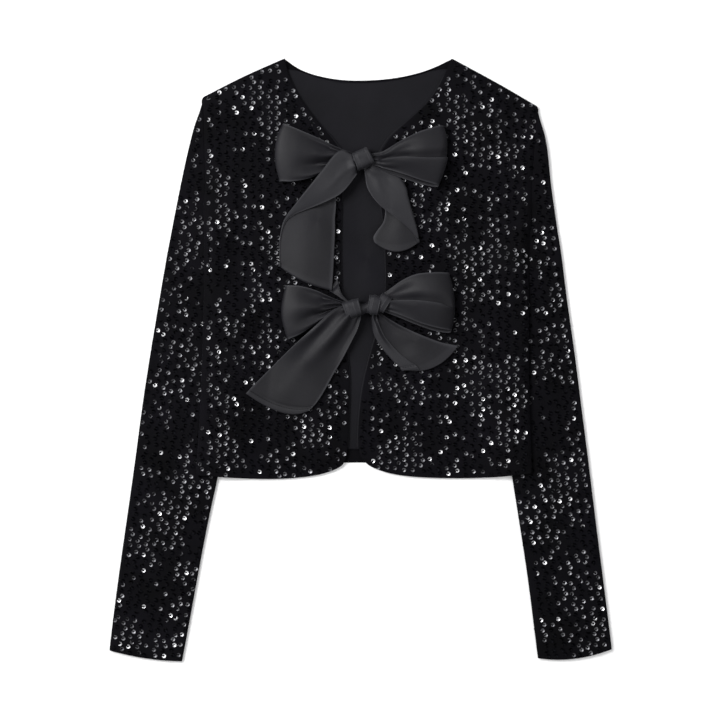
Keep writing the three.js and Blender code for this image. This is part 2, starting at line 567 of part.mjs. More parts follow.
// A sleeve: a flat tube, open at the armhole and the cuff, whose underside lies on the table
function sleeve(rows, cuffBow) {
  const track = (x, y) => path(rows.map((row) => [row[x], row[y], row.high]));
  const [outerFold, innerFold] = [track("ox", "oy"), track("ix", "iy")];
  const ridge = (across, t) =>
    SLEEVE_FOLDS.reduce((sum, fold) => {
      const ends = smooth((t - fold.from) / 0.1) * smooth((fold.to - t) / 0.1);
      return sum + fold.high * ends * bump((across - fold.across) / fold.wide);
    }, 0);
  const hidden = (x, y) => smooth((rise(x, y) / BODY_RISE - 0.02) * 12);
  const ringAt = (inset) => (t) => {
    const [from, to] = [innerFold(t), outerFold(t)];
    const width = Math.hypot(to.x - from.x, to.y - from.y);
    const radius = to.z / 2;
    const bow = cuffBow * smooth((t - 0.85) / 0.15);
    const place = (across, z) => {
      const share = (across - radius) / (width - 2 * radius);
      const x = mix(from.x, to.x, across / width);
      const y = mix(from.y, to.y, across / width) - bow * 4 * share * (1 - share);
      const upper = clamp01((z - radius) / radius);
      const lifted = ridge(across / width, t) * (1 - hidden(x, y)) * upper;
      return new THREE.Vector3(x, y, z + lifted);
    };
    const points = [];
    const flat = (count, start, end, z) => {
      for (let i = 0; i < count; i++) points.push(place(mix(start, end, i / count), z));
    };
    const turn = (middle, startAngle) => {
      for (let i = 0; i < SLEEVE_CELLS.fold; i++) {
        const angle = startAngle - (Math.PI * i) / SLEEVE_CELLS.fold;
        const reach = radius - inset;
        points.push(place(middle + reach * Math.cos(angle), radius + reach * Math.sin(angle)));
      }
    };
    flat(SLEEVE_CELLS.top, radius, width - radius, 2 * radius - inset);
    turn(width - radius, Math.PI / 2);
    flat(SLEEVE_CELLS.under, width - radius, radius, inset);
    turn(radius, -Math.PI / 2);
    return points;
  };
  const stations = evenly(SLEEVE_CELLS.along);
  return shell(stations.map(ringAt(0)), stations.map(ringAt(VELVET)), true);
}

// A ribbon through the edges and middle of each row, moved out by its thickness
function ribbon(rows, { along, across }, crease) {
  const [upper, middle, lower] = ["a", "m", "b"].map((key) => path(rows.map((row) => row[key])));
  const inner = grid(evenly(along), evenly(across), (u, v) => {
    const [a, m, b] = [upper(v), middle(v), lower(v)];
    const point = new THREE.QuadraticBezierCurve3(a, middleControl(a, m, b), b).getPoint(u);
    if (crease) {
      const near = smooth((crease.reach - v) / 0.12) * smooth(v / 0.06);
      point.z -= crease.deep * near * bump((u - crease.across) / crease.wide);
    }
    point.z += frontRelief(point.x, point.y);
    return point;
  });
  return shell(movedOut(inner, SATIN), inner);
}

// The control point that takes a quadratic curve from a to b through m
const middleControl = (a, m, b) => m.clone().multiplyScalar(2).sub(a.clone().add(b).multiplyScalar(0.5));

// A ribbon turned over along a lengthwise fold, with the turned layer on top
function foldedRibbon(rows, { layer, along }) {
  const track = (key) => path(rows.map((row) => row[key]));
  const [free, fold, mid, far] = [track("free"), track("fold"), track("mid"), track("far")];
  const turn = path(rows.map((row) => [row.turn, 0, 0]));
  const inner = Array.from({ length: along + 1 }, (_, j) => {
    const v = j / along;
    const half = turn(v).x;
    const [edge, bend, middle, end] = [free(v), fold(v), mid(v), far(v)];
    const above = bend.clone().lerp(edge, 0.06).add(new THREE.Vector3(0, 0, half));
    const below = bend.clone().lerp(middle, 0.06).add(new THREE.Vector3(0, 0, -half));
    const under = new THREE.QuadraticBezierCurve3(below, middleControl(below, middle, end), end);
    const points = [];
    for (let i = 0; i < layer; i++) points.push(edge.clone().lerp(above, i / layer));
    points.push(above, bend, below);
    for (let i = 1; i <= layer; i++) points.push(under.getPoint(i / layer));
    return points.map((point) => point.setZ(point.z + frontRelief(point.x, point.y)));
  });
  return shell(movedOut(inner, SATIN), inner);
}

// A rounded lump through sections along X, grown by a margin
function lump(rows, margin = 0) {
  const middle = path(rows.map(({ x, y, z }) => [x, y, z]));
  const size = path(rows.map(({ tall, deep }) => [tall, deep, 0]));
  const { around, along } = KNOT_CELLS;
  const first = middle(0).clone();
  const last = middle(1).clone();
  first.x -= 1 + margin;
  last.x += 1 + margin;
  const positions = [first, last].flatMap((p) => [p.x, p.y, p.z]);
  const index = [];
  for (let j = 0; j <= along; j++) {
    const centre = middle(j / along);
    const half = size(j / along);
    const shift = mix(-margin, margin, j / along);
    for (let i = 0; i < around; i++) {
      const angle = (2 * Math.PI * i) / around;
      positions.push(
        centre.x + shift,
        centre.y + (half.x + margin) * Math.cos(angle),
        centre.z + (half.y + margin) * Math.sin(angle),
      );
    }
  }
  const at = (row, column) => 2 + row * around + (column % around);
  for (let i = 0; i < around; i++) {
    index.push(0, at(0, i + 1), at(0, i), 1, at(along, i), at(along, i + 1));
    for (let j = 0; j < along; j++) {
      index.push(at(j, i), at(j, i + 1), at(j + 1, i + 1), at(j, i), at(j + 1, i + 1), at(j + 1, i));
    }
  }
  return facingOut(positions, index);
}

function toSolid(geometry) {
  const merged = mergeVertices(geometry, 1e-4);
  return new wasm.Manifold(
    new wasm.Mesh({
      numProp: 3,
      vertProperties: merged.getAttribute("position").array,
      triVerts: new Uint32Array(merged.index.array),
    }),
  );
}

// A ribbon cut back to stand just clear of its knot. Only its largest piece is kept.
function clearOf(geometry, knotRows) {
  const cut = toSolid(geometry).subtract(toSolid(lump(knotRows, SEAM)));
  const kept = cut.decompose().reduce((best, body) => (body.volume() > best.volume() ? body : best));
  const { vertProperties, triVerts } = kept.getMesh();
  return facingOut([...vertProperties], [...triVerts]);
}

const velvet = new THREE.MeshStandardMaterial({ color: 0x0b0b0e, roughness: 0.8, metalness: 0 });
const satin = new THREE.MeshStandardMaterial({ color: 0x323236, roughness: 0.45, metalness: 0 });
const liningSatin = new THREE.MeshStandardMaterial({ color: 0x2a2a2e, roughness: 0.5, metalness: 0 });

const jacket = new THREE.Group();

function add(name, geometry, material) {
  const mesh = new THREE.Mesh(geometry, material);
  mesh.name = name;
  jacket.add(mesh);
}

const frontRight = front(
  outline(RIGHT_FRONT_HEM),
  outline(RIGHT_SHOULDER),
  outline(RIGHT_SIDE),
  outline(RIGHT_FRONT_EDGE),
);
const frontLeft = front(
  outline([...LEFT_FRONT_HEM].reverse()),
  outline([...LEFT_SHOULDER].reverse()),
  outline(LEFT_SIDE),
  outline(LEFT_FRONT_EDGE),
);

add("back", back(), velvet);
add("back_lining", backLining(), liningSatin);
add("front_right", frontRight, velvet);
add("front_left", frontLeft, velvet);
add("facing_right", facing(RIGHT_FRONT_EDGE, 1), liningSatin);
add("facing_left", facing(LEFT_FRONT_EDGE, -1), liningSatin);
add("sleeve_right", sleeve(RIGHT_SLEEVE, CUFF_BOW.right), velvet);
add("sleeve_left", sleeve(LEFT_SLEEVE, CUFF_BOW.left), velvet);

for (const [bow, knotRows, pieces] of [
  ["upper", UPPER_KNOT, {
    loop_right: ribbon(UPPER_RIGHT_LOOP, LOOP_CELLS, LOOP_CREASES.upperRight),
    loop_left: ribbon(UPPER_LEFT_LOOP, LOOP_CELLS, LOOP_CREASES.upperLeft),
    tail_right: foldedRibbon(UPPER_RIGHT_TAIL, FOLDED_TAIL_CELLS),
    tail_left: foldedRibbon(UPPER_LEFT_TAIL, FOLDED_TAIL_CELLS),
    tie_right: ribbon(UPPER_RIGHT_TIE, TIE_CELLS),
    tie_left: ribbon(UPPER_LEFT_TIE, TIE_CELLS),
  }],
  ["lower", LOWER_KNOT, {
    loop_right: ribbon(LOWER_RIGHT_LOOP, LOOP_CELLS, LOOP_CREASES.lowerRight),
    loop_left: ribbon(LOWER_LEFT_LOOP, LOOP_CELLS, LOOP_CREASES.lowerLeft),
    tail_right: ribbon(LOWER_RIGHT_TAIL, TAIL_CELLS),
    tail_left: foldedRibbon(LOWER_LEFT_TAIL, FOLDED_TAIL_CELLS),
    tie_right: ribbon(LOWER_RIGHT_TIE, TIE_CELLS),
    tie_left: ribbon(LOWER_LEFT_TIE, TIE_CELLS),
  }],
]) {
  add(`${bow}_bow_knot`, lump(knotRows), satin);
  for (const [piece, geometry] of Object.entries(pieces)) {
    add(`${bow}_bow_${piece}`, clearOf(geometry, knotRows), satin);
  }
}

export default jacket;
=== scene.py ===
"""Looks of a cropped bolero jacket laid flat on its back: sequined velvet, satin lining and two satin bows.

Metres in the part's frame: X to the wearer's left, Y from hem to neck, Z up from the table.
Tables and the settings of cloth are in millimetres. The cuts, the stage and the rays are in metres.
"""

import math

import bmesh
import bpy
import numpy as np
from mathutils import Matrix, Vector
from mathutils.bvhtree import BVHTree


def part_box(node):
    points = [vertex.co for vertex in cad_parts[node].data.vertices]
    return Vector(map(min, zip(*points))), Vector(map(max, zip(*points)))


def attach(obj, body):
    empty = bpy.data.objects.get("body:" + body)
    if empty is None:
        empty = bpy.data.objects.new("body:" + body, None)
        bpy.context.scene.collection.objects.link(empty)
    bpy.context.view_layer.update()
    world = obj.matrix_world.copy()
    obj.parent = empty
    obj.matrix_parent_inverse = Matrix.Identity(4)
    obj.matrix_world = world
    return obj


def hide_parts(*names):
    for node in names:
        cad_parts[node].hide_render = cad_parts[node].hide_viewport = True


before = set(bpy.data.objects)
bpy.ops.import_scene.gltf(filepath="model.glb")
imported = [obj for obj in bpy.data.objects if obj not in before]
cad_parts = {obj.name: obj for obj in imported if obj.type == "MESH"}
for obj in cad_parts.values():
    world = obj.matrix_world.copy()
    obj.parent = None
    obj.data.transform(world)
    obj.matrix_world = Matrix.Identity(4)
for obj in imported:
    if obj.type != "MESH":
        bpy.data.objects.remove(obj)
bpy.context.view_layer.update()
MM = 0.001
RANDOM = np.random.default_rng(11)
UP = Vector((0, 0, 1))
RAY_START = 0.1  # how far above or below the table a ray starts
RAY_REACH = 0.2

# The photograph's frame: 720 pixels of 1.1 mm, seen from straight above
FRAME_WIDTH = 720 * 1.1 * MM
FRAME_CENTRE = (-0.7 * MM, 0.3 * MM)
CAMERA_HEIGHT = 3.0
SENSOR = 36

# Cloth
FINER = 2  # how many times a panel's wall is subdivided
PILE = 0.45  # how far the velvet's ground lies inside its wall, so that the sequins come up to it
LINING_INSIDE = 0.2
FRONT_TOP = 6.2  # height of a front where it lies flat
RIM_ANGLE = math.radians(55)  # edges sharper than this stay crisp
RIM_CREASE = 0.8
SLEEVE_CREASED = (2.2 * MM, 1.6 * MM)  # a sleeve's creases fade in from this height, over this height

# Ribbons: heights in millimetres, the rest shares of a ribbon's width unless its length is named. A pair is a
# place and how far it spreads.
RIBBON_THICK = 0.5
EDGE_STATIONS = np.array([0, 0.008, 0.02, 0.034])  # points close to an edge
INNER_STATIONS = (0.05, 0.95)
WOVEN_EDGE = (0.03, 0.02)
WOVEN_THICKER = 0.2
PLEAT_FADES = (0.1, 0.16)  # over which shares of the length a pleat starts, and ends
PLEAT_COUNT = 3.1  # across a ribbon at its knot
PLEAT_HIGH = 2.6
PLEAT_FROM = (0.42, 0.3)  # shares of spare width
FOLD_COUNT = 1.6  # broader folds, farther out
FOLD_HIGH = 2.6
FOLD_FROM = (0.06, 0.3)
FOLD_CALMS = 0.7  # how far they give way to the pleats
FOLD_CALMS_FROM = (0.55, 0.3)
UNEVEN = 0.045  # what keeps pleats from being spaced evenly
UNEVEN_WAVES = 5
PLEATS_END = 0.08  # over which they die away at the edges
RIPPLES = ((0.16, 5.5, 9), (0.1, 11, -6), (0.07, 3, 17))  # height, radians across and along
FOLDED_LAYER = 0.45  # each layer of a folded tail
FOLD_WIDE = 0.1  # and the fold between them
FOLD_BEND = 0.06  # share of a layer at which the fold starts to turn
TURNED_ENDS = (0.52, 0.04)
FLAP_EDGE = 0.045  # over which a flap's folded edge turns
FLAP_RISE = 1.4  # its step up is so many times as wide
FLAP_OVER = 0.14  # how far the cloth doubles back there, by the ribbon's width there
FLAP_CALM = 0.3  # share of the pleats that is left where a flap takes up the spare width
FLAP_SINKS = 0.26  # over which the cloth above sinks to the edge
FLAP_DEEPER = 0.7  # how much deeper it sinks near the knot
FLAP_DEEPER_AT = (0.2, 0.1)  # by length
FLAP_DRIFTS = (0.1, 0.35)  # where its edge moves across, by length
FLAP_FADES = (0.04, 0.14)  # over which shares of the length it starts, and ends
FLAP_HIGHLIGHT_LINE = (0.03, 0.02)  # painted highlight along its folded edge: place below the edge and half width
# how pale the painted highlight on a flap's fold is
FLAP_HIGHLIGHT_PALER = 0.7
FLAP_BEYOND = 0.1  # how far closer points reach beyond its edge
FLAP_STATIONS = 37
STATIONS_APART = 0.004

# Sequins
SEQUIN_RADIUS = 2.35
SEQUIN_HOLE = 0.25
SEQUIN_BEND = (1.3, 0.3)  # where the cup's wall steepens: radius and height
SEQUIN_DEEP = 0.85
SEQUIN_SIDES = 8
SEQUIN_TILT = 9  # degrees, the spread of their lean
SEQUIN_LEAN = 6  # degrees, towards the thread that holds one edge down
SEQUIN_TURN = 0.5  # radians, the spread of the thread's way
SEQUIN_SUNK = 0.15
COLUMN_PITCH = 9.3
PRESSED_DEPTH = 0.35  # share of their depth that sequins keep between the jacket and the table
PRESSED_LEAN = 0.06  # and of their lean
PRESSED_SUNK = 0.02
SEQUIN_PITCH = 5.7
ZIGZAG = 1.3
JITTER = 0.28
EDGE_CLEAR = 2.7  # no sequin's middle is nearer than this to a panel's edge
LEAST_UPRIGHT = 0.3  # Z of the normal where the cloth is too steep for a sequin
NEARLY = 1e-6
MISSING = 0.05
FULL_GLINT_SHARE = 0.05  # share of sequins painted as catching the light fully
SEEN = {"usual": 0.48, "patchy": 0.24, "least": 0.1, "most": 0.94}  # share painted as catching some light
TONES = {"dark": 0.22, "seen": 0.37, "spread": 0.4, "painted_glint": 0.85}  # painted reflection, 0 black to 1 a full glint
# Painted reflection: the sequins' colour by tone, black where a sequin catches no light and near white where
# it catches it fully
SEQUIN_COLOURS = (
    (0.0, (0.001, 0.001, 0.0015)),
    (0.3, (0.004, 0.004, 0.005)),
    (0.5, (0.09, 0.09, 0.097)),
    (0.8, (0.27, 0.27, 0.285)),
    (1.0, (0.9, 0.9, 0.92)),
)
# The thread from the hole over the edge and down: place outwards, height and half width
THREAD = (
    (-0.2, 0.2, 0.15),
    (1.3, 0.65, 0.55),
    (SEQUIN_RADIUS + 0.1, SEQUIN_DEEP + 0.2, 1.0),
    (SEQUIN_RADIUS + 0.8, 0, 0.4),
)

# Panels that carry sequins: how the columns run, in degrees from straight down, and the sides that show
SEQUIN_PANELS = {
    "front_right": (0, ["above"]),
    "front_left": (0, ["above"]),
    "sleeve_right": (-9.5, ["above", "below"]),
    "sleeve_left": (7.5, ["above", "below"]),
    "back": (0, ["below"]),
}

# Soft creases: X and Y of the middle, half length, half width, height (below 0 in a trough) and lean
CREASES = {
    "front_right": [
        (-150, 205, 60, 5, -0.7, 0.05),
        (-138, 110, 70, 7, -0.8, 0.1),
        (-98, -20, 60, 8, -0.6, 0.2),
        (-60, 285, 25, 6, -0.5, 0.5),
        (-40, -60, 40, 7, 0.5, -0.2),
    ],
    "front_left": [
        (166, 180, 60, 5, -0.7, -0.12),
        (140, 105, 66, 6, -0.8, -0.25),
        (108, -10, 70, 9, -0.6, -0.1),
        (92, 262, 24, 6, -0.5, -0.6),
        (58, -40, 44, 8, 0.5, 0.15),
    ],
    "sleeve_right": [
        (-196, 150, 44, 5, -0.9, 0.3),
        (-222, 10, 60, 6, -0.7, 0.12),
        (-208, -120, 50, 6, -0.8, 0.3),
        (-236, -220, 40, 6, -0.6, 0.05),
    ],
    "sleeve_left": [
        (200, 150, 40, 5, -0.9, -0.25),
        (218, -10, 60, 6, -0.7, -0.1),
        (214, -140, 50, 6, -0.8, -0.25),
        (238, -230, 40, 6, -0.6, -0.05),
    ],
    "back_lining": [
        (10, 262, 60, 7, 0.35, 0.25),
        (-24, 240, 40, 5, -0.3, -0.4),
        (6, 140, 60, 5, 0.3, 0.05),
        (-6, -20, 60, 4, 0.3, 0.1),
    ],
}

# The cut of each panel, from the part's outlines, in metres: width, length and flat area.
# A sleeve's width is the way round its armhole, and its length runs down its outer fold.
PANEL_CUTS = {
    "back": (0.374, 0.457, 0.154),
    "back_lining": (0.222, 0.423, 0.085),
    "front_right": (0.168, 0.462, 0.0652),
    "front_left": (0.197, 0.461, 0.071),
    "facing_right": (0.0132, 0.43, None),
    "facing_left": (0.0132, 0.444, None),
    "sleeve_right": (0.318, 0.611, 0.0839),
    "sleeve_left": (0.289, 0.598, 0.0768),
}

# Where each sleeve meets its armhole, shoulder end first, the way to the body, and the body's panels there
ARMHOLES = {
    "sleeve_right": ((-174.1, 283), (-171.2, 124), 1, ("front_right", "back")),
    "sleeve_left": ((194.8, 274), (185, 130), -1, ("front_left", "back")),
}
SLEEVE_DRAWN = 1.1  # how far a sleeve's cloth is drawn in to be sewn to the body's
BODY_DRAWN = 0.8  # and the body's cloth out to the sleeve
DRAWN_OVER = 9  # over how wide a band
BELOW_UNDERARM = 1.3  # where the draw ends, as a share of the armhole
DRAW_FADES = 0.12
SINKS = {"front": 3.6, "back": 1.9}  # how far the body's side edges sink onto the sleeve round the underarm
SINK_STARTS = (0.82, 0.14)  # shares of the armhole
SINK_ENDS = (1.42, 0.2)

# Bow loops, the same rows as the part's: upper edge, middle and lower edge of the loop's inner face,
# from the knot along the top layer, round the end and back underneath
LOOPS = {
    "upper_bow_loop_right": [
        ((-6, 226, 11), (-6, 221, 12.5), (-6, 216, 10.8)),
        ((-26, 233.5, 12), (-29, 221, 13.5), (-32, 209, 11.5)),
        ((-45, 242.5, 14.5), (-50, 222, 17.5), (-55, 200, 13)),
        ((-67, 252, 16), (-71, 226, 20), (-74, 196, 15.5)),
        ((-81, 258, 15), (-87, 230, 18), (-85, 196, 14.5)),
        ((-84.5, 259, 12.3), (-93, 231, 13.8), (-88.5, 196, 12)),
        ((-82, 258, 9.8), (-90, 230, 10), (-86, 197, 9.6)),
        ((-66, 251, 8.8), (-71, 226, 8.8), (-73, 198, 8.8)),
        ((-45, 242, 8.8), (-50, 222, 8.8), (-54, 202, 8.8)),
        ((-26, 233, 8.8), (-29, 221, 8.8), (-32, 211, 8.8)),
        ((-6, 226, 8.8), (-6, 221, 8.8), (-6, 217, 8.8)),
    ],
    "upper_bow_loop_left": [
        ((10, 226, 15), (10, 220, 17), (10, 215, 15)),
        ((24, 228, 16), (25, 219, 19), (26, 211, 16)),
        ((43, 239, 18), (45, 222, 22.5), (46, 205, 17.5)),
        ((65, 250, 19), (67, 223, 24.5), (66, 198, 18)),
        ((84, 256, 17), (88, 226, 21.5), (80, 193.5, 16)),
        ((90, 256.5, 13.8), (94, 228, 15.5), (84.5, 191.7, 13)),
        ((86, 255.5, 10.8), (91, 227, 11), (82, 190, 10.4)),
        ((65, 249, 10), (68, 222, 10), (67, 193, 10)),
        ((43, 238, 12.6), (46, 219, 12.6), (46, 199.5, 12.8)),
        ((24, 227, 13), (25, 217, 13), (26, 207, 13)),
        ((10, 225, 12.4), (10, 219, 12.4), (10, 213.5, 12.4)),
    ],
    "lower_bow_loop_right": [
        ((-14, 63, 11.6), (-14, 59.5, 12.4), (-14, 56, 11.2)),
        ((-24, 65.5, 12), (-25, 60, 13.2), (-25, 54, 11.6)),
        ((-36, 70.5, 13.2), (-38, 58, 14.6), (-40, 46, 12.2)),
        ((-48, 76, 15), (-52, 57, 18), (-54, 37, 13.6)),
        ((-65, 81, 16), (-69, 55, 20), (-67, 28.5, 15)),
        ((-78, 82, 15), (-82, 53, 17.5), (-77, 24, 13.6)),
        ((-81.5, 82, 12.2), (-86, 52, 13.4), (-79.5, 23, 11.6)),
        ((-78, 81.5, 9.8), (-83, 52, 10), (-77, 24, 9.6)),
        ((-60, 79, 8.8), (-64, 54, 8.8), (-62, 31, 8.8)),
        ((-38, 71, 8.8), (-40, 57, 8.8), (-41, 46, 8.8)),
        ((-24, 65, 8.8), (-25, 59.5, 8.8), (-25, 54.5, 8.8)),
        ((-14, 62.5, 8.8), (-14, 59.5, 8.8), (-14, 56.5, 8.8)),
    ],
    "lower_bow_loop_left": [
        ((20, 70, 14), (20, 63, 16), (20, 57, 14)),
        ((31, 77, 15), (33, 65, 17.5), (35, 53.5, 14.8)),
        ((45, 87, 17), (48, 66, 20.5), (51, 47.5, 16.5)),
        ((61, 94, 19), (65, 67, 24), (67, 41, 18)),
        ((80, 96, 19), (86, 66, 24), (84, 36, 17.5)),
        ((93, 96, 16.5), (99, 64, 19.5), (95, 33.5, 15.4)),
        ((96.5, 95.5, 13.2), (102.5, 63, 14.2), (98.5, 32.5, 12.4)),
        ((93, 95, 10.6), (99.5, 62, 10.8), (96, 30, 10.2)),
        ((78, 94, 10), (82, 62, 10), (80, 32.5, 10)),
        ((56, 90, 10.4), (60, 64, 10.4), (60, 39.5, 10.8)),
        ((38, 80, 12), (40, 64, 12), (42, 47, 12.4)),
        ((20, 70, 12), (20, 62, 12), (20, 55, 12)),
    ],
}

# A plain tail and the ties between the front edges and the knots, on their undersides
STRIPS = {
    "lower_bow_tail_right": [
        ((-10, 60, 16), (-5, 54.5, 17), (0, 49, 14.5)),
        ((-21, 59, 17), (-11, 52, 18), (-1, 43, 14)),
        ((-32, 53.5, 17.4), (-20, 43, 18), (-4, 33, 12.6)),
        ((-45, 42, 18.2), (-31, 30, 16.4), (-10, 21, 11)),
        ((-57, 31, 18), (-42, 17, 13.6), (-16, 9, 9.8)),
        ((-70, 19.5, 14.6), (-51, 6, 11.4), (-22, -2, 9)),
        ((-82, 8, 11.2), (-61, -6, 9.8), (-29, -14, 8.6)),
        ((-96, -6, 9), (-72, -20, 9.4), (-36, -27, 8.4)),
        ((-109, -19, 8.4), (-80, -33, 9.6), (-43, -39, 8.3)),
        ((-119, -29, 8.3), (-84, -46, 9.4), (-50, -48.5, 8.3)),
        ((-125.5, -36.5, 8.2), (-86, -57.5, 8.6), (-57, -55, 8.2)),
    ],
    "upper_bow_tie_right": [
        ((-30, 230, 6.6), (-31, 222, 6.6), (-30, 214, 6.6)),
        ((-19, 229, 6.6), (-19, 221.5, 6.7), (-19, 214, 6.6)),
        ((-6, 226, 6.6), (-6, 221, 6.7), (-6, 216, 6.6)),
    ],
    "upper_bow_tie_left": [
        ((10, 226, 6.6), (10, 221, 6.7), (10, 216, 6.6)),
        ((22, 229, 6.6), (22, 221.5, 6.7), (22, 214, 6.6)),
        ((33, 230, 6.6), (34, 222, 6.6), (33, 214, 6.6)),
    ],
    "lower_bow_tie_right": [
        ((-25.5, 89, 6.6), (-30, 83, 6.6), (-34.5, 76, 6.6)),
        ((-24.5, 84.5, 7.6), (-28, 80, 7.2), (-32, 74.8, 6.8)),
        ((-23.5, 80, 10.6), (-26.5, 76.5, 11), (-30, 73.6, 10.4)),
        ((-20, 71, 12.8), (-20.5, 69.5, 13), (-21.5, 68.2, 12.6)),
        ((-12, 63.5, 13.6), (-12, 62.5, 13.8), (-12, 61.5, 13.6)),
    ],
    "lower_bow_tie_left": [
        ((20, 68, 6.6), (20, 62, 6.7), (20, 56, 6.6)),
        ((33, 71, 6.6), (33, 63, 6.7), (33, 55, 6.6)),
        ((44, 72, 6.6), (45, 63.5, 6.6), (44, 55, 6.6)),
    ],
}

# Folded tails: free edge of the turned layer, the fold, middle and far edge of the layer below,
# and half the fold's height
FOLDED = {
    "upper_bow_tail_right": [
        ((-4, 204, 15.5), (-9, 226, 18.6), (-6, 216, 15.4), (-4, 210, 14.8), 1.1),
        ((-15, 189, 17), (-24, 228.5, 19.4), (-20, 216, 16.6), (-17, 205, 15.4), 1.3),
        ((-25, 180, 17), (-42, 208, 20), (-34, 202, 16.4), (-27, 193, 14), 1.4),
        ((-44, 171, 15.6), (-60, 185.5, 17.4), (-42, 182, 12.6), (-27, 178, 10.4), 1.4),
        ((-60, 165, 13.6), (-71, 171.5, 13.6), (-48, 169, 10), (-27, 168, 9.2), 1.3),
        ((-74, 159, 11.6), (-80, 160, 11), (-54, 158, 9.4), (-28, 156, 9), 1),
        ((-83, 150, 9.8), (-85.5, 149, 9.4), (-57, 145, 9.6), (-28, 141, 9), 0.5),
        ((-88, 133, 9.2), (-88.7, 131, 9.1), (-59, 124, 10), (-29, 119, 9), 0.2),
        ((-88.6, 116, 9.1), (-89.3, 115, 9), (-60, 105, 10), (-30, 97, 9), 0.2),
        ((-88, 103.5, 9.1), (-88.7, 102.5, 9), (-61, 85.5, 9.4), (-31.5, 76.5, 9), 0.2),
    ],
    "upper_bow_tail_left": [
        ((3, 214, 9.8), (14, 216, 9.8), (11, 215, 8.9), (8, 214, 8.9), 0.35),
        ((5, 202, 10.4), (38, 205, 10), (30, 204, 8.9), (20, 203, 8.9), 0.4),
        ((7, 190, 12), (49, 191, 11), (38, 190, 8.9), (24, 190, 8.9), 1),
        ((13, 179, 13.4), (52, 179, 11.6), (40, 178, 8.9), (26, 178, 8.9), 1.2),
        ((23, 168, 14), (55.5, 166, 12), (42, 165, 8.9), (27, 165, 8.9), 1.4),
        ((36, 158.5, 13.4), (59, 153.5, 11.8), (42, 152, 9), (25, 152, 8.9), 1.3),
        ((47, 150, 12.2), (62, 142, 11), (40, 141, 9.4), (18, 142, 9), 1),
        ((57, 140, 10.6), (63.5, 134, 10), (39, 130, 9.6), (14, 135, 9), 0.6),
        ((62.5, 131, 9.6), (63.8, 129, 9.3), (38.5, 119, 9.2), (15, 129.5, 9), 0.3),
    ],
    "lower_bow_tail_left": [
        ((17, 51, 11), (12, 51, 10.2), (16, 52, 8.9), (22, 52, 8.9), 0.8),
        ((19, 43, 11.4), (11.5, 43, 10.2), (20, 44.5, 8.9), (30, 46, 8.9), 0.9),
        ((26, 27, 11.4), (14, 28, 10.2), (29, 32, 9.1), (46, 37, 8.9), 1),
        ((38, 12, 11.2), (24, 13, 10.1), (44, 20, 9.6), (65, 28.5, 8.9), 1),
        ((50, 1.5, 10.9), (36, -1, 10), (61, 8, 9.8), (86, 20.5, 8.9), 0.8),
        ((60, -5.5, 10.4), (43.5, -8, 9.7), (72, -1, 9.4), (99, 17.5, 8.9), 0.6),
        ((64, -10, 9.9), (46.5, -11, 9.4), (81, -7.5, 9), (107, 16, 8.9), 0.4),
    ],
}

# Ridges (troughs below 0) along a ribbon: share across, half width, height, and where they start and end
PLEATS = {
    "upper_bow_loop_right": [
        (0.62, 0.2, -3.4, -0.1, 0.3), (0.2, 0.07, 0.8, -0.1, 0.16), (0.45, 0.06, 0.7, -0.1, 0.22),
        (0.8, 0.06, 0.8, -0.1, 0.14), (0.3, 0.09, -0.7, 0.02, 0.28),
    ],
    "upper_bow_loop_left": [
        (0.27, 0.11, -1.4, -0.1, 0.36), (0.16, 0.06, 0.8, -0.1, 0.2),
        (0.86, 0.06, 0.6, -0.1, 0.14),
    ],
    "lower_bow_loop_right": [
        (0.55, 0.18, -2.2, -0.1, 0.3), (0.2, 0.07, 0.7, -0.1, 0.2), (0.38, 0.05, 0.8, -0.1, 0.26),
        (0.78, 0.08, 0.8, -0.1, 0.22),
    ],
    "lower_bow_loop_left": [
        (0.24, 0.11, -1.2, -0.1, 0.34), (0.15, 0.06, 0.7, -0.1, 0.22),
        (0.84, 0.07, 0.7, -0.1, 0.2),
    ],
    "lower_bow_tail_right": [
        (0.3, 0.08, 0.9, -0.1, 0.36), (0.72, 0.07, -1.0, -0.1, 0.3), (0.86, 0.05, 0.8, -0.1, 0.34),
        (0.5, 0.16, 0.8, 0.3, 0.95),
    ],
    "upper_bow_tail_right": [
        (0.2, 0.05, 0.8, -0.1, 0.3), (0.32, 0.05, -0.7, -0.1, 0.2), (0.78, 0.15, -2.4, 0.4, 1.3),
    ],
    "upper_bow_tail_left": [
        (0.15, 0.05, 0.7, -0.1, 0.4), (0.3, 0.05, -0.6, -0.1, 0.3), (0.74, 0.14, -1.6, 0.5, 1.3),
    ],
    "lower_bow_tail_left": [
        (0.72, 0.08, 0.8, 0.1, 0.7), (0.2, 0.05, 0.5, 0.1, 0.6), (0.88, 0.05, -0.5, 0.2, 0.8),
    ],
}

# Where the broad folds of a ribbon start across it
GATHER_PHASE = {
    "upper_bow_loop_right": 2.2,
    "upper_bow_loop_left": 4.46,
    "lower_bow_loop_right": 2.8,
    "lower_bow_loop_left": 4.06,
    "lower_bow_tail_right": 4.2,
}

# The wearer's left loops fold forward over a pocket: the edge's place across and its drift, the fold's height
# and the width over which it flattens, the pocket's depth, and where along the loop both start and end
FLAPS = {
    "upper_bow_loop_left": {
        "across": 0.5, "drift": 0.1, "high": 3.4, "decay": 0.6, "pocket": 4.0, "start": 0.06, "end": 0.56,
    },
    "lower_bow_loop_left": {
        "across": 0.52, "drift": 0.08, "high": 2.4, "decay": 0.6, "pocket": 3.4, "start": 0.05, "end": 0.48,
    },
}

# The width of the ribbons that show, in metres
RIBBON_WIDTH = 0.066

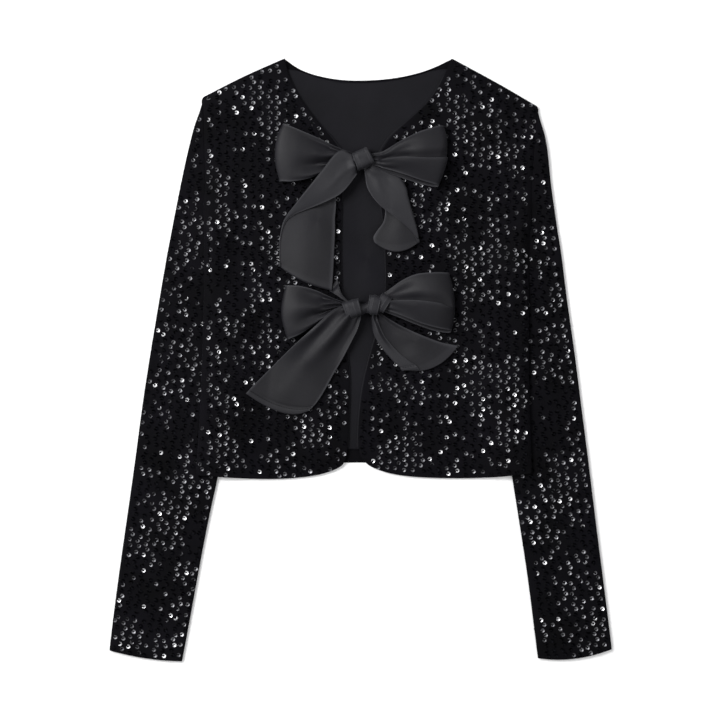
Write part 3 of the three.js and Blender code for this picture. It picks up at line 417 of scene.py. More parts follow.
# Turns of ribbon round the knots: middle, degrees they lean from straight down, half sizes across, along and
# up, how they widen downwards, and their folds: place across from -1 to 1 and height
KNOT_TURNS = {
    "upper_bow_knot": [((2.4, 220.6, 14.2), 25, (9.6, 10.2, 9.2), 0.08, [(-0.5, 0.5), (0.62, 0.9)])],
    "lower_bow_knot": [
        ((-9, 56.6, 13.8), 17, (9, 9.4, 8.8), -0.08, [(-0.55, 0.6), (0.2, 0.5)]),
        ((14.5, 60.6, 13.8), -12, (6.4, 10.6, 8.8), -0.1, [(-0.3, 0.8)]),
        ((24.5, 62.8, 13.6), -32, (6.2, 10, 7.6), 0.0, [(0.1, 0.7)]),
    ],
}

# The hem of a tail and the small stitches along its seam
HEM_DEEP = 7.5
HEM_RISE = 0.8
HEM_THICKER = 0.9
HEM_PALER = 0.24
SEAM = (0.9, 1.2)  # how far inside the hem it runs, and half its width
STITCH = {"long": 2.0, "gap": 0.9, "radius": 0.24, "above": 0.05, "first": 1.5, "last": 3}
TOP_LAYER_PAINTED_PALER = 0.45  # painted shade: the layer that a folded tail turns up, and a knot's turns, are painted a little paler than the cloth beneath, which stands in for the shade on the layers below

# Knots. A turn's places across run from -1 to 1.
CORE_INSIDE = 1.0  # how far a knot's core lies inside its solid
SQUARENESS = 0.62  # power of the sines that a turn's section follows
TURN_STATIONS = {"across": 41, "round": 57}
TURN_ROUND = 0.62  # share of half a circle that a turn reaches to each side of its top
ROLLED_EDGE = (0.9, 0.07)
ROLL_HIGH = 0.45
CROWN = 0.8
TURN_FOLD = {"step": 0.05, "fades": 0.4}
TURN_EDGE = (0.93, 0.05)

# Stage. The lights are soft boxes that face the jacket's middle: place, width and height, power.
LIGHTS = {
    "key_box": ((-1.3, 0.8, 1.9), (0.8, 1.2), 50),
    "fill_box": ((1.3, 0.1, 2.1), (1.0, 1.6), 13),
    "left_box": ((-2.2, 0.2, 1.2), (1.2, 2.2), 26),
    "top_box": ((-0.3, 2.2, 1.3), (2.2, 1.0), 9),
    "low_box": ((-0.3, -2.2, 1.3), (2.2, 1.0), 7),
}
SKY = ((0.3, (0.2, 0.2, 0.205, 1)), (0.9, (0.85, 0.85, 0.86, 1)))  # height from below to overhead, and colour
SKY_STRENGTH = 0.46
FLOOR_SIZE = 9
FLOOR_LOWER = 0.0004  # how far the table top lies below the part


def smooth(t):
    """0 below 0, 1 above 1, and an even slope between."""
    t = np.clip(t, 0, 1)
    return t * t * (3 - 2 * t)


def rises(value, start, over):
    """0 up to the start, and 1 from so much beyond it on."""
    return smooth((value - start) / over)


def falls(value, end, over):
    """1 until so much before the end, and 0 from it on."""
    return smooth((end - value) / over)


def ridge(value, middle, half):
    """1 in the middle, and less and less to both sides."""
    away = (value - middle) / half
    return np.exp(-away * away)


def relief(creases, x, y):
    """Height in millimetres of rows of soft creases at x and y, in millimetres."""
    total = np.zeros_like(x)
    for middle_x, middle_y, long, wide, high, lean in creases:
        along = y - middle_y
        across = x - middle_x - along * lean
        total += high * ridge(along, 0, long) * ridge(across, 0, wide)
    return total


def run_along(points):
    """Distance along a line of points, from its start."""
    return np.concatenate([[0], np.cumsum(np.linalg.norm(np.diff(points, axis=0), axis=1))])


def widths(grid):
    """Width of a ribbon's grid at each of its rows."""
    return np.linalg.norm(np.diff(grid, axis=1), axis=2).sum(1)


# Materials


class Nodes:
    """A node material in a few words."""

    def __init__(self, name):
        self.material = bpy.data.materials.new(name)
        self.material.use_nodes = True
        self.tree = self.material.node_tree
        self.shader = self.tree.nodes["Principled BSDF"]

    def add(self, kind, settings=None, **inputs):
        node = self.tree.nodes.new(kind)
        for key, value in (settings or {}).items():
            setattr(node, key, value)
        for key, value in inputs.items():
            self.put(node, key.replace("_", " "), value)
        return node

    def put(self, node, key, value):
        if isinstance(value, bpy.types.NodeSocket):
            self.tree.links.new(value, node.inputs[key])
        else:
            node.inputs[key].default_value = value

    def set(self, **inputs):
        for key, value in inputs.items():
            self.put(self.shader, key.replace("_", " "), value)

    def ramp(self, factor, stops):
        node = self.add("ShaderNodeValToRGB", Fac=factor)
        elements = node.color_ramp.elements
        while len(elements) < len(stops):
            elements.new(0.5)
        for element, (position, colour) in zip(elements, stops):
            element.position = position
            element.color = (*colour, 1)
        return node.outputs["Color"]

    def noise(self, vector, scale, detail):
        node = self.add("ShaderNodeTexNoise", Vector=vector, Scale=scale, Detail=detail)
        return node.outputs["Fac"]

    def bump(self, height, strength, distance, normal=None):
        node = self.add("ShaderNodeBump", Height=height, Strength=strength, Distance=distance)
        if normal is not None:
            self.put(node, "Normal", normal)
        return node.outputs["Normal"]

    def position(self):
        return self.add("ShaderNodeTexCoord").outputs["Object"]

    def cloth_uv(self):
        return self.add("ShaderNodeUVMap", {"uv_map": "cloth"}).outputs["UV"]


def velvet_material():
    """Black velvet: short pile with a cool sheen, brushed this way and that."""
    nodes = Nodes("sequin_velvet")
    place = nodes.position()
    brushed = nodes.noise(place, scale=22, detail=2)
    pile = nodes.noise(place, scale=1900, detail=2)
    nodes.set(
        Base_Color=nodes.ramp(brushed, [(0.3, (0.001, 0.0009, 0.0014)), (0.75, (0.0028, 0.0025, 0.0042))]),
        Roughness=0.85,
        Specular_IOR_Level=0.08,
        Sheen_Weight=0.05,
        Sheen_Roughness=0.35,
        Sheen_Tint=(0.42, 0.40, 0.55, 1),
        Normal=nodes.bump(pile, strength=0.6, distance=0.0004),
    )
    return nodes.material


def sequin_material():
    """Cupped black sequins, their colour a painted reflection from black to near white by their tone."""
    nodes = Nodes("sequins")
    tone = nodes.add("ShaderNodeAttribute", {"attribute_name": "tone"}).outputs["Fac"]
    nodes.set(Base_Color=nodes.ramp(tone, SEQUIN_COLOURS), Metallic=1.0, Roughness=0.46)
    return nodes.material


def thread_material():
    """Black sewing thread."""
    nodes = Nodes("thread")
    twist = nodes.noise(nodes.position(), scale=2600, detail=1)
    nodes.set(
        Base_Color=nodes.ramp(twist, [(0.3, (0.0012, 0.0012, 0.0016)), (0.7, (0.0036, 0.0036, 0.0044))]),
        Roughness=0.9,
        Specular_IOR_Level=0.1,
    )
    return nodes.material


def satin_material(name, dark, light, roughness, edge, shine):
    """Satin: fine floats along the length, slow changes of tone, and a paler woven edge, whose colour also
    paints the paler top layers and the flaps' highlights.
    """
    nodes = Nodes(name)
    uv = nodes.cloth_uv()
    place = nodes.position()
    floats = nodes.add("ShaderNodeMapping", Vector=uv, Scale=(5200, 420, 1)).outputs["Vector"]
    weave = nodes.noise(floats, scale=1.0, detail=2)
    slow = nodes.noise(place, scale=16, detail=3)
    cloudy = nodes.ramp(slow, [(0.3, dark), (0.7, light)])
    # The edge attribute marks woven edges and hems, and also painted light: paler top layers and flap
    # highlights
    at_edge = nodes.add("ShaderNodeAttribute", {"attribute_name": "edge"}).outputs["Fac"]
    mixed = nodes.add("ShaderNodeMix", {"data_type": "RGBA"}, Factor=at_edge)
    nodes.tree.links.new(cloudy, mixed.inputs["A"])
    mixed.inputs["B"].default_value = (*edge, 1)
    ripple = nodes.noise(place, scale=90, detail=2)
    soft = nodes.bump(ripple, strength=0.12, distance=0.0016)
    rough = nodes.add("ShaderNodeMapRange", Value=slow, To_Min=roughness - 0.04, To_Max=roughness + 0.05)
    nodes.set(
        Base_Color=mixed.outputs["Result"],
        Roughness=rough.outputs["Result"],
        Specular_IOR_Level=shine,
        Sheen_Weight=0.05,
        Sheen_Roughness=0.4,
        Sheen_Tint=(0.8, 0.8, 0.86, 1),
        Anisotropic=0.3,
        Normal=nodes.bump(weave, strength=0.35, distance=0.00012, normal=soft),
    )
    return nodes.material


def floor_material():
    """A smooth white table top, lit a little from within."""
    nodes = Nodes("table")
    grain = nodes.noise(nodes.position(), scale=7, detail=2)
    nodes.set(
        Base_Color=nodes.ramp(grain, [(0.3, (0.88, 0.88, 0.88)), (0.7, (0.9, 0.9, 0.9))]),
        Roughness=0.75,
        Specular_IOR_Level=0.2,
        Emission_Color=(1, 1, 1, 1),
        Emission_Strength=0.12,
    )
    return nodes.material


# Meshes


def new_object(name, mesh, materials, replaced=None):
    """A piece on the part's one body, with its materials and the node that it replaces."""
    obj = bpy.data.objects.new(name, mesh)
    bpy.context.scene.collection.objects.link(obj)
    for material in materials:
        mesh.materials.append(material)
    mesh.polygons.foreach_set("use_smooth", [True] * len(mesh.polygons))
    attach(obj, "root")
    if replaced:
        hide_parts(replaced)
    return obj


def of_points(mesh, what):
    """The places, "co", or the normals, "normal", of a mesh's points, one row each."""
    flat = np.zeros(3 * len(mesh.vertices))
    mesh.vertices.foreach_get(what, flat)
    return flat.reshape(-1, 3)


def point_attribute(mesh, name, values):
    mesh.attributes.new(name, "FLOAT", "POINT").data.foreach_set("value", np.asarray(values, np.float32))


def fine_copy(node):
    """A finer copy of a CAD node's wall, its triangles joined to quads and subdivided."""
    bm = bmesh.new()
    bm.from_mesh(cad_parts[node].data)
    bmesh.ops.remove_doubles(bm, verts=bm.verts, dist=1e-6)
    bmesh.ops.join_triangles(
        bm,
        faces=bm.faces,
        angle_face_threshold=math.radians(30),
        angle_shape_threshold=math.radians(70),
    )
    crease = bm.edges.layers.float.new("crease_edge")
    for edge in bm.edges:
        if len(edge.link_faces) == 2 and edge.calc_face_angle(0) > RIM_ANGLE:
            edge[crease] = RIM_CREASE
    coarse = bpy.data.meshes.new(node + "_coarse")
    bm.to_mesh(coarse)
    bm.free()
    holder = bpy.data.objects.new(node + "_coarse", coarse)
    bpy.context.scene.collection.objects.link(holder)
    modifier = holder.modifiers.new("finer", "SUBSURF")
    modifier.levels = FINER
    graph = bpy.context.evaluated_depsgraph_get()
    fine = bpy.data.meshes.new_from_object(holder.evaluated_get(graph))
    fine.name = node + "_cloth"
    bpy.data.objects.remove(holder)
    fine.materials.clear()
    return fine


def cloth_map(mesh, places):
    """The cloth's own map in metres, from the place of each point on it."""
    layer = mesh.uv_layers.new(name="cloth")
    corner = np.zeros(len(mesh.loops), np.int32)
    mesh.loops.foreach_get("vertex_index", corner)
    layer.data.foreach_set("uv", places[corner].astype(np.float32).ravel())


def reshape(mesh, co):
    """Gives a mesh its new points, in metres, with a cloth map from straight above and no paler edge."""
    mesh.vertices.foreach_set("co", co.ravel())
    mesh.update()
    cloth_map(mesh, of_points(mesh, "co")[:, :2])
    point_attribute(mesh, "edge", np.zeros(len(co)))


def tree_of(mesh):
    return BVHTree.FromPolygons(of_points(mesh, "co").tolist(), [tuple(p.vertices) for p in mesh.polygons])


# Panels


def cloth_panel(node, material, inside):
    """A panel's visible cloth: its wall made finer, thinner and creased, and drawn to its neighbours."""
    mesh = fine_copy(node)
    co = of_points(mesh, "co")
    co[:, 2] -= of_points(mesh, "normal")[:, 2] * inside * MM
    creased = rises(co[:, 2], *SLEEVE_CREASED) if node.startswith("sleeve") else 1.0
    co[:, 2] += relief(CREASES.get(node, ()), co[:, 0] / MM, co[:, 1] / MM) * creased * MM
    for sleeve in ARMHOLES:
        across, down = drawn_together(node, sleeve, co[:, 0] / MM, co[:, 1] / MM)
        co[:, 0] += across * MM
        co[:, 2] -= down * MM
    reshape(mesh, co)
    return new_object(node + "_cloth", mesh, [material], replaced=node)


def drawn_together(node, sleeve, x, y):
    """How far a panel's cloth moves across and down to meet its neighbour at an armhole, in millimetres."""
    (top_x, top_y), (low_x, low_y), to_body, body = ARMHOLES[sleeve]
    share = (top_y - y) / (top_y - low_y)
    in_band = 1 - rises(np.abs(x - (top_x + (low_x - top_x) * share)), 0, DRAWN_OVER)
    near = in_band * falls(share, BELOW_UNDERARM, DRAW_FADES)
    if node == sleeve:
        return to_body * SLEEVE_DRAWN * near * rises(share, 0, DRAW_FADES), 0
    if node in body:
        at_underarm = rises(share, *SINK_STARTS) * falls(share, *SINK_ENDS)
        return -to_body * BODY_DRAWN * near, SINKS[node.split("_")[0]] * in_band * at_underarm
    return 0, 0


# Sequins


def sequin_template():
    """One cupped sequin with its hole, then its thread: points in millimetres, faces and their kinds."""
    rings = [(SEQUIN_HOLE, 0.0), SEQUIN_BEND, (SEQUIN_RADIUS, SEQUIN_DEEP)]
    angles = np.arange(SEQUIN_SIDES) * 2 * math.pi / SEQUIN_SIDES
    points = [(r * math.cos(a), r * math.sin(a), z) for r, z in rings for a in angles]
    faces = []
    for ring in range(len(rings) - 1):
        for i in range(SEQUIN_SIDES):
            j = (i + 1) % SEQUIN_SIDES
            low, high = ring * SEQUIN_SIDES, (ring + 1) * SEQUIN_SIDES
            faces.append((low + i, high + i, high + j, low + j))
    start = len(points)
    for x, z, half in THREAD:
        points += [(x, -half, z), (x, half, z)]
    lefts = [start + 2 * k for k in range(len(THREAD) - 1)]
    thread = [(left, left + 2, left + 3, left + 1) for left in lefts]
    kinds = [0] * len(faces) + [1] * len(thread)
    return np.array(points), np.array(faces + thread), np.array(kinds)


def sequin_sites(node, trees, angle, from_above):
    """Places and normals of a panel's sequins, in zigzag columns, on the side seen from above or below."""
    low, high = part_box(node)
    centre = np.array([(low.x + high.x) / 2, (low.y + high.y) / 2]) / MM
    half = np.hypot(high.x - low.x, high.y - low.y) / 2 / MM
    sine, cosine = math.sin(math.radians(angle)), math.cos(math.radians(angle))
    along, across = np.array([sine, -cosine]), np.array([cosine, sine])
    start, direction = (RAY_START, -UP) if from_above else (-RAY_START, UP)
    sites = []
    for column in np.arange(-half, half, COLUMN_PITCH):
        shift = RANDOM.uniform(0, SEQUIN_PITCH)
        for step, distance in enumerate(np.arange(-half, half, SEQUIN_PITCH)):
            side = ZIGZAG if step % 2 else -ZIGZAG
            jitter = RANDOM.normal(0, JITTER, 2)
            if RANDOM.random() < MISSING:
                continue
            x, y = centre + across * (column + side + jitter[0]) + along * (distance + shift + jitter[1])
            hits = {}
            for name, tree in trees.items():
                place, normal, _, reach = tree.ray_cast(Vector((x * MM, y * MM, start)), direction, RAY_REACH)
                if place is not None:
                    hits[name] = (reach, place, normal)
            if node in hits and hits[node][0] <= min(h[0] for h in hits.values()) + NEARLY:
                normal = hits[node][2]
                if normal.z * direction.z > 0:
                    normal = -normal
                if abs(normal.z) > LEAST_UPRIGHT and clear_of_edges(trees[node], x, y, start, direction):
                    sites.append((hits[node][1], normal))
    return sites


def clear_of_edges(tree, x, y, start, direction):
    """Whether the panel is there all round a sequin."""
    for dx, dy in ((EDGE_CLEAR, 0), (-EDGE_CLEAR, 0), (0, EDGE_CLEAR), (0, -EDGE_CLEAR)):
        origin = Vector(((x + dx) * MM, (y + dy) * MM, start))
        if tree.ray_cast(origin, direction, RAY_REACH)[0] is None:
            return False
    return True


def catching_light(sites):
    """Tone of each sequin, a painted reflection from 0 dark to 1 a full glint: patches of the cloth catch the
    light and others hardly do.

    The patches are sine waves bent by slower ones. What divides x and y is a radian's length in millimetres.
    """
    x, y = np.array([[place.x, place.y] for place, _ in sites]).T / MM
    patchy = np.sin(x / 17 + 1.7 * np.sin(y / 39)) + np.sin(y / 23 - 1.3 * np.sin(x / 31) + 2)
    patchy += 0.8 * np.sin((x + y) / 11 + 2 * np.sin((x - y) / 27))
    count = len(sites)
    chance = np.clip(SEEN["usual"] + SEEN["patchy"] * patchy, SEEN["least"], SEEN["most"])
    seen = RANDOM.random(count) < chance
    light = TONES["seen"] + TONES["spread"] * RANDOM.beta(1.6, 2.2, count)
    tone = np.where(seen, light, TONES["dark"] * RANDOM.random(count))
    painted_glint = RANDOM.random(count) < FULL_GLINT_SHARE
    return np.where(painted_glint, RANDOM.uniform(TONES["painted_glint"], 1, count), tone)


def sequins(name, sites, angle, materials, pressed):
    """All sequins of one side of a panel as one mesh, each with its own lean, turn and tone."""
    template, faces, kinds = sequin_template()
    loose = PRESSED_LEAN if pressed else 1.0
    sunk = PRESSED_SUNK if pressed else SEQUIN_SUNK
    if pressed:
        template[:, 2] *= PRESSED_DEPTH
    count = len(sites)
    points = np.empty((count, len(template), 3))
    thread_way = math.radians(180 + angle)
    for i, (place, normal) in enumerate(sites):
        turn = thread_way + RANDOM.normal(0, SEQUIN_TURN)
        away = Vector((math.cos(turn), math.sin(turn), 0))
        lean = math.radians(SEQUIN_LEAN) * loose
        tilt = Vector((RANDOM.normal(0, math.radians(SEQUIN_TILT), 2) * loose).tolist() + [0])
        up = (normal + away * lean + tilt).normalized()
        x_axis = (away - up * away.dot(up)).normalized()
        y_axis = up.cross(x_axis)
        axes = np.array([x_axis, y_axis, up])
        points[i] = template * MM @ axes - np.array(normal * sunk * MM) + np.array(place)
    index = faces[None] + (np.arange(count) * len(template))[:, None, None]
    mesh = bpy.data.meshes.new(name)
    mesh.from_pydata(points.reshape(-1, 3).tolist(), [], index.reshape(-1, 4).tolist())
    # each sequin's painted reflection
    point_attribute(mesh, "tone", np.repeat(catching_light(sites), len(template)))
    obj = new_object(name, mesh, materials)
    mesh.polygons.foreach_set("material_index", np.tile(kinds, count).astype(np.int32))
    return obj


# Ribbons


def spline(rows, t):
    """Points at t, 0 to 1, on a smooth path through the rows, evenly spaced by row."""
    rows = np.asarray(rows, float)
    first, last = 2 * rows[0] - rows[1], 2 * rows[-1] - rows[-2]
    padded = np.vstack([first, rows, last])
    place = np.clip(np.asarray(t), 0, 1) * (len(rows) - 1)
    k = np.minimum(place.astype(int), len(rows) - 2)
    w = (place - k)[:, None]
    p0, p1, p2, p3 = (padded[k + i] for i in range(4))
    linear = (p2 - p0) * w
    square = (2 * p0 - 5 * p1 + 4 * p2 - p3) * w**2
    cubic = (3 * p1 - p0 - 3 * p2 + p3) * w**3
    return 0.5 * (2 * p1 + linear + square + cubic)


def curve_through(a, m, b, u):
    """The quadratic curve from a through m to b, at shares u."""
    control = 2 * m - (a + b) / 2
    w = u[None, :, None]
    return (1 - w) ** 2 * a[:, None] + 2 * w * (1 - w) * control[:, None] + w**2 * b[:, None]


def strip_grid(rows, u, v):
    """Points of a ribbon, in millimetres, by share along and across."""
    a, m, b = (spline([row[i] for row in rows], v) for i in range(3))
    return curve_through(a, m, b, u)


def folded_grid(rows, u, v):
    """Points of a ribbon turned over along a lengthwise fold."""
    free, fold, mid, far = (spline([row[i] for row in rows], v) for i in range(4))
    half = spline([(row[4], 0, 0) for row in rows], v)[:, :1] * np.array([[0, 0, 1]])
    top_bend, low_bend = fold + (free - fold) * FOLD_BEND, fold + (mid - fold) * FOLD_BEND
    grid = np.empty((len(v), len(u), 3))
    top, low = u < FOLDED_LAYER, u > 1 - FOLDED_LAYER
    turn = ~(top | low)
    share = (u[top] / FOLDED_LAYER)[None, :, None]
    grid[:, top] = free[:, None] * (1 - share) + (top_bend + half)[:, None] * share
    angle = (math.pi / 2 - (u[turn] - FOLDED_LAYER) / FOLD_WIDE * math.pi)[None, :, None]
    centre = np.where(angle > 0, top_bend[:, None], low_bend[:, None])
    grid[:, turn] = centre + np.cos(angle) * (fold[:, None] - centre) + np.sin(angle) * half[:, None]
    grid[:, low] = curve_through(low_bend - half, mid, far, (u[low] - (1 - FOLDED_LAYER)) / FOLDED_LAYER)
    return grid


def grid_normals(grid):
    along = np.gradient(grid, axis=0)
    across = np.gradient(grid, axis=1)
    normal = np.cross(across, along)
    normal /= np.maximum(np.linalg.norm(normal, axis=2, keepdims=True), 1e-9)
    return normal * (1 if normal[0, 0, 2] > 0 else -1)


def ribbon_stations(count, settings):
    """Shares across a ribbon, closer at its two edges and at a flap's."""
    inner = np.linspace(*INNER_STATIONS, count)
    if settings is not None:
        low, high = settings["across"] - FLAP_BEYOND, settings["across"] + settings["drift"] + FLAP_BEYOND
        above, below = inner[inner < low - STATIONS_APART], inner[inner > high + STATIONS_APART]
        inner = np.concatenate([above, np.linspace(low, high, FLAP_STATIONS), below])
    return np.concatenate([EDGE_STATIONS, inner, 1 - EDGE_STATIONS[::-1]])


def front_lift(fronts, grid):
    """How far the front below lifts each point above where a flat front would be, in millimetres."""
    lift = np.zeros(grid.shape[:2])
    for j, row in enumerate(grid):
        for i, (x, y, _) in enumerate(row):
            for tree in fronts:
                place = tree.ray_cast(Vector((x * MM, y * MM, RAY_START)), -UP, RAY_REACH)[0]
                if place is not None:
                    lift[j, i] = max(lift[j, i], place.z / MM + PILE - FRONT_TOP)
    return lift


def ribbon(name, make_grid, rows, material, fronts, stations):
    """A ribbon's visible cloth from its rows, with pleats, woven edges and, on a tail, a turned hem."""
    u = ribbon_stations(stations[0], FLAPS.get(name))
    v = np.linspace(0, 1, stations[1])
    grid = make_grid(rows, u, v)
    normal = grid_normals(grid)
    shape = pleats(PLEATS.get(name, ()), u, v)
    shape += ripples(u, v)
    if "tie" not in name:
        shape += gathers(grid, u, GATHER_PHASE.get(name, 1.0)) * (FLAP_CALM if name in FLAPS else 1)
    if name in FLAPS:
        shape += flap(FLAPS[name], u, v)
        across = np.gradient(grid, u, axis=1)
        across /= np.linalg.norm(across, axis=2, keepdims=True)
        grid += across * doubled_back(FLAPS[name], u, v, widths(grid))[:, :, None]
    length = run_along(grid.mean(1))
    hem, seam = np.zeros(len(v)), np.zeros(len(v))
    if "tail" in name:
        in_hem = length - length[-1] + HEM_DEEP
        hem, seam = rises(in_hem, 0, HEM_RISE), ridge(in_hem, *SEAM)
    at_edge = np.maximum(falls(u, *WOVEN_EDGE), rises(u, 1 - WOVEN_EDGE[0], WOVEN_EDGE[1]))
    grid[:, :, 2] += front_lift(fronts, grid)
    inner = grid + normal * shape[:, :, None]
    thick = RIBBON_THICK + HEM_THICKER * hem[:, None] - HEM_THICKER * seam[:, None]
    outer = inner + normal * (thick + WOVEN_THICKER * at_edge[None])[:, :, None]
    paler = np.maximum(at_edge[None], HEM_PALER * (hem - seam).clip(0, 1)[:, None])
    # Painted shade: a folded tail's turned layer is paler than the layer below it
    if name in FOLDED:
        paler = np.maximum(paler, TOP_LAYER_PAINTED_PALER * falls(u, *TURNED_ENDS)[None])
    # A flap's fold gets a painted highlight along its edge
    if name in FLAPS:
        on_flap_highlight = ridge(below_flap_edge(FLAPS[name], u, v), *FLAP_HIGHLIGHT_LINE)
        paler = np.maximum(paler, FLAP_HIGHLIGHT_PALER * flap_reach(FLAPS[name], v)[:, None] * on_flap_highlight)
    obj = shell_object(name + "_cloth", outer, inner, u, length, paler, material, name)
    pieces = [stitch_hem(name, outer, normal, length)] if "tail" in name else []
    return obj, pieces


def pleats(table, u, v):
    """Height of a ribbon's own ridges and troughs, in millimetres."""
    total = np.zeros((len(v), len(u)))
    for across, wide, high, start, end in table:
        reach = rises(v, start, PLEAT_FADES[0]) * falls(v, end, PLEAT_FADES[1])
        total += high * reach[:, None] * ridge(u, across, wide)[None]
    return total


def gathers(grid, u, phase):
    """Pleats that take up the ribbon's spare width wherever it is drawn in, in millimetres."""
    width = widths(grid)
    spare = np.maximum(RIBBON_WIDTH / MM - width, 0)
    needed = np.sqrt(width * spare) / (math.pi * PLEAT_COUNT)
    share = spare * MM / RIBBON_WIDTH
    fine = np.minimum(PLEAT_HIGH, needed) * rises(share, *PLEAT_FROM)
    broad = FOLD_HIGH * rises(share, *FOLD_FROM) * (1 - FOLD_CALMS * rises(share, *FOLD_CALMS_FROM))
    warped = u + UNEVEN * np.sin(UNEVEN_WAVES * u + phase)
    waves = fine[:, None] * np.sin(2 * math.pi * PLEAT_COUNT * warped + phase)[None]
    waves += broad[:, None] * np.sin(2 * math.pi * FOLD_COUNT * warped - phase)[None]
    return waves * np.minimum(u, 1 - u).clip(0, PLEATS_END)[None] / PLEATS_END


def flap_reach(settings, v):
    """Where along its ribbon a flap stands up, 0 to 1."""
    return rises(v, settings["start"], FLAP_FADES[0]) * falls(v, settings["end"], FLAP_FADES[1])


def below_flap_edge(settings, u, v):
    """How far below a flap's edge each point lies, as a share of the ribbon's width."""
    edge = settings["across"] + settings["drift"] * rises(v, *FLAP_DRIFTS)
    return u[None] - edge[:, None]


def doubled_back(settings, u, v, width):
    """How far the cloth slides across at a flap's edge, under it and over it, in millimetres."""
    away = below_flap_edge(settings, u, v) / FLAP_EDGE
    return -FLAP_OVER * (width * flap_reach(settings, v))[:, None] * away * ridge(away, 0, 1)


def flap(settings, u, v):
    """A folded overlap along a ribbon, and the cloth above it that sinks under its edge, in millimetres."""
    below = below_flap_edge(settings, u, v)
    step = smooth(0.5 + below / FLAP_EDGE / FLAP_RISE)
    over = settings["high"] * step * np.exp(-np.maximum(below, 0) / settings["decay"])
    under = settings["pocket"] * (1 - step) * smooth(1 + below / FLAP_SINKS)
    deeper = 1 + FLAP_DEEPER * ridge(v, *FLAP_DEEPER_AT)
    return flap_reach(settings, v)[:, None] * (over - deeper[:, None] * under)


def ripples(u, v):
    """Faint unevenness of soft satin, in millimetres."""
    total = np.zeros((len(v), len(u)))
    for (high, across, along), phase in zip(RIPPLES, RANDOM.uniform(0, 2 * math.pi, len(RIPPLES))):
        total += high * np.sin(across * u[None, :] + along * v[:, None] + phase)
    return total


def shell_object(name, outer, inner, u, length, paler, material, node):
    """A closed thin shell between two grids, with its cloth map and its paler edges and hem, and its painted
    paler layers and highlights, marked.
    """
    rows, columns = outer.shape[:2]
    number = np.arange(rows * columns).reshape(rows, columns)
    back = number + rows * columns
    quads = [
        np.stack([number[:-1, :-1], number[:-1, 1:], number[1:, 1:], number[1:, :-1]], -1).reshape(-1, 4),
        np.stack([back[:-1, :-1], back[1:, :-1], back[1:, 1:], back[:-1, 1:]], -1).reshape(-1, 4),
    ]
    for line, other in ((number[0], back[0]), (number[:, -1], back[:, -1])):
        quads.append(np.stack([line[1:], line[:-1], other[:-1], other[1:]], -1))
    for line, other in ((number[-1], back[-1]), (number[:, 0], back[:, 0])):
        quads.append(np.stack([line[:-1], line[1:], other[1:], other[:-1]], -1))
    points = np.concatenate([outer.reshape(-1, 3), inner.reshape(-1, 3)]) * MM
    mesh = bpy.data.meshes.new(name)
    mesh.from_pydata(points.tolist(), [], np.concatenate(quads).tolist())
    across, along = np.broadcast_arrays(u[None] * widths(outer).max(), length[:, None])
    cloth_map(mesh, np.tile(np.stack([across, along], -1).reshape(-1, 2) * MM, (2, 1)))
    point_attribute(mesh, "edge", np.tile(paler.ravel(), 2))
    obj = new_object(name, mesh, [material], replaced=node)
    recalculate_normals(mesh)
    return obj


def recalculate_normals(mesh):
    bm = bmesh.new()
    bm.from_mesh(mesh)
    bmesh.ops.recalc_face_normals(bm, faces=bm.faces)
    bm.to_mesh(mesh)
    bm.free()


def stitch_hem(name, outer, normal, length):
    """A row of small stitches across a tail, along its hem's seam."""
    row = int(np.searchsorted(length, length[-1] - HEM_DEEP + SEAM[0]))
    line = outer[row] + normal[row] * STITCH["above"]
    distance = run_along(line)

    def at(reach):
        return np.array([np.interp(reach, distance, line[:, k]) for k in range(3)])

    bm = bmesh.new()
    for start in np.arange(STITCH["first"], distance[-1] - STITCH["last"], STITCH["long"] + STITCH["gap"]):
        near, far = at(start), at(start + STITCH["long"])
        turn = Vector(far - near).to_track_quat("X", "Z").to_matrix().to_4x4()
        turn.translation = Vector((near + far) / 2 * MM)
        made = bmesh.ops.create_uvsphere(bm, u_segments=6, v_segments=4, radius=1)["verts"]
        stretch = Vector((STITCH["long"] / 2 * MM, STITCH["radius"] * MM, STITCH["radius"] * MM))
        for vert in made:
            vert.co = turn @ Vector(a * b for a, b in zip(vert.co, stretch))
    mesh = bpy.data.meshes.new(name + "_stitches")
    bm.to_mesh(mesh)
    bm.free()
    return new_object(name + "_stitches", mesh, [MATERIALS["ribbon_thread"]])


# Knots


def knot_core(node, material):
    """What lies inside a knot: its lump made finer and a little smaller."""
    mesh = fine_copy(node)
    reshape(mesh, of_points(mesh, "co") - of_points(mesh, "normal") * CORE_INSIDE * MM)
    return new_object(node + "_core", mesh, [material], replaced=node)


def squared(wave):
    """A sine or cosine made flatter at its top, so that a turn has a flat face and tight bends."""
    return np.sign(wave) * np.abs(wave) ** SQUARENESS


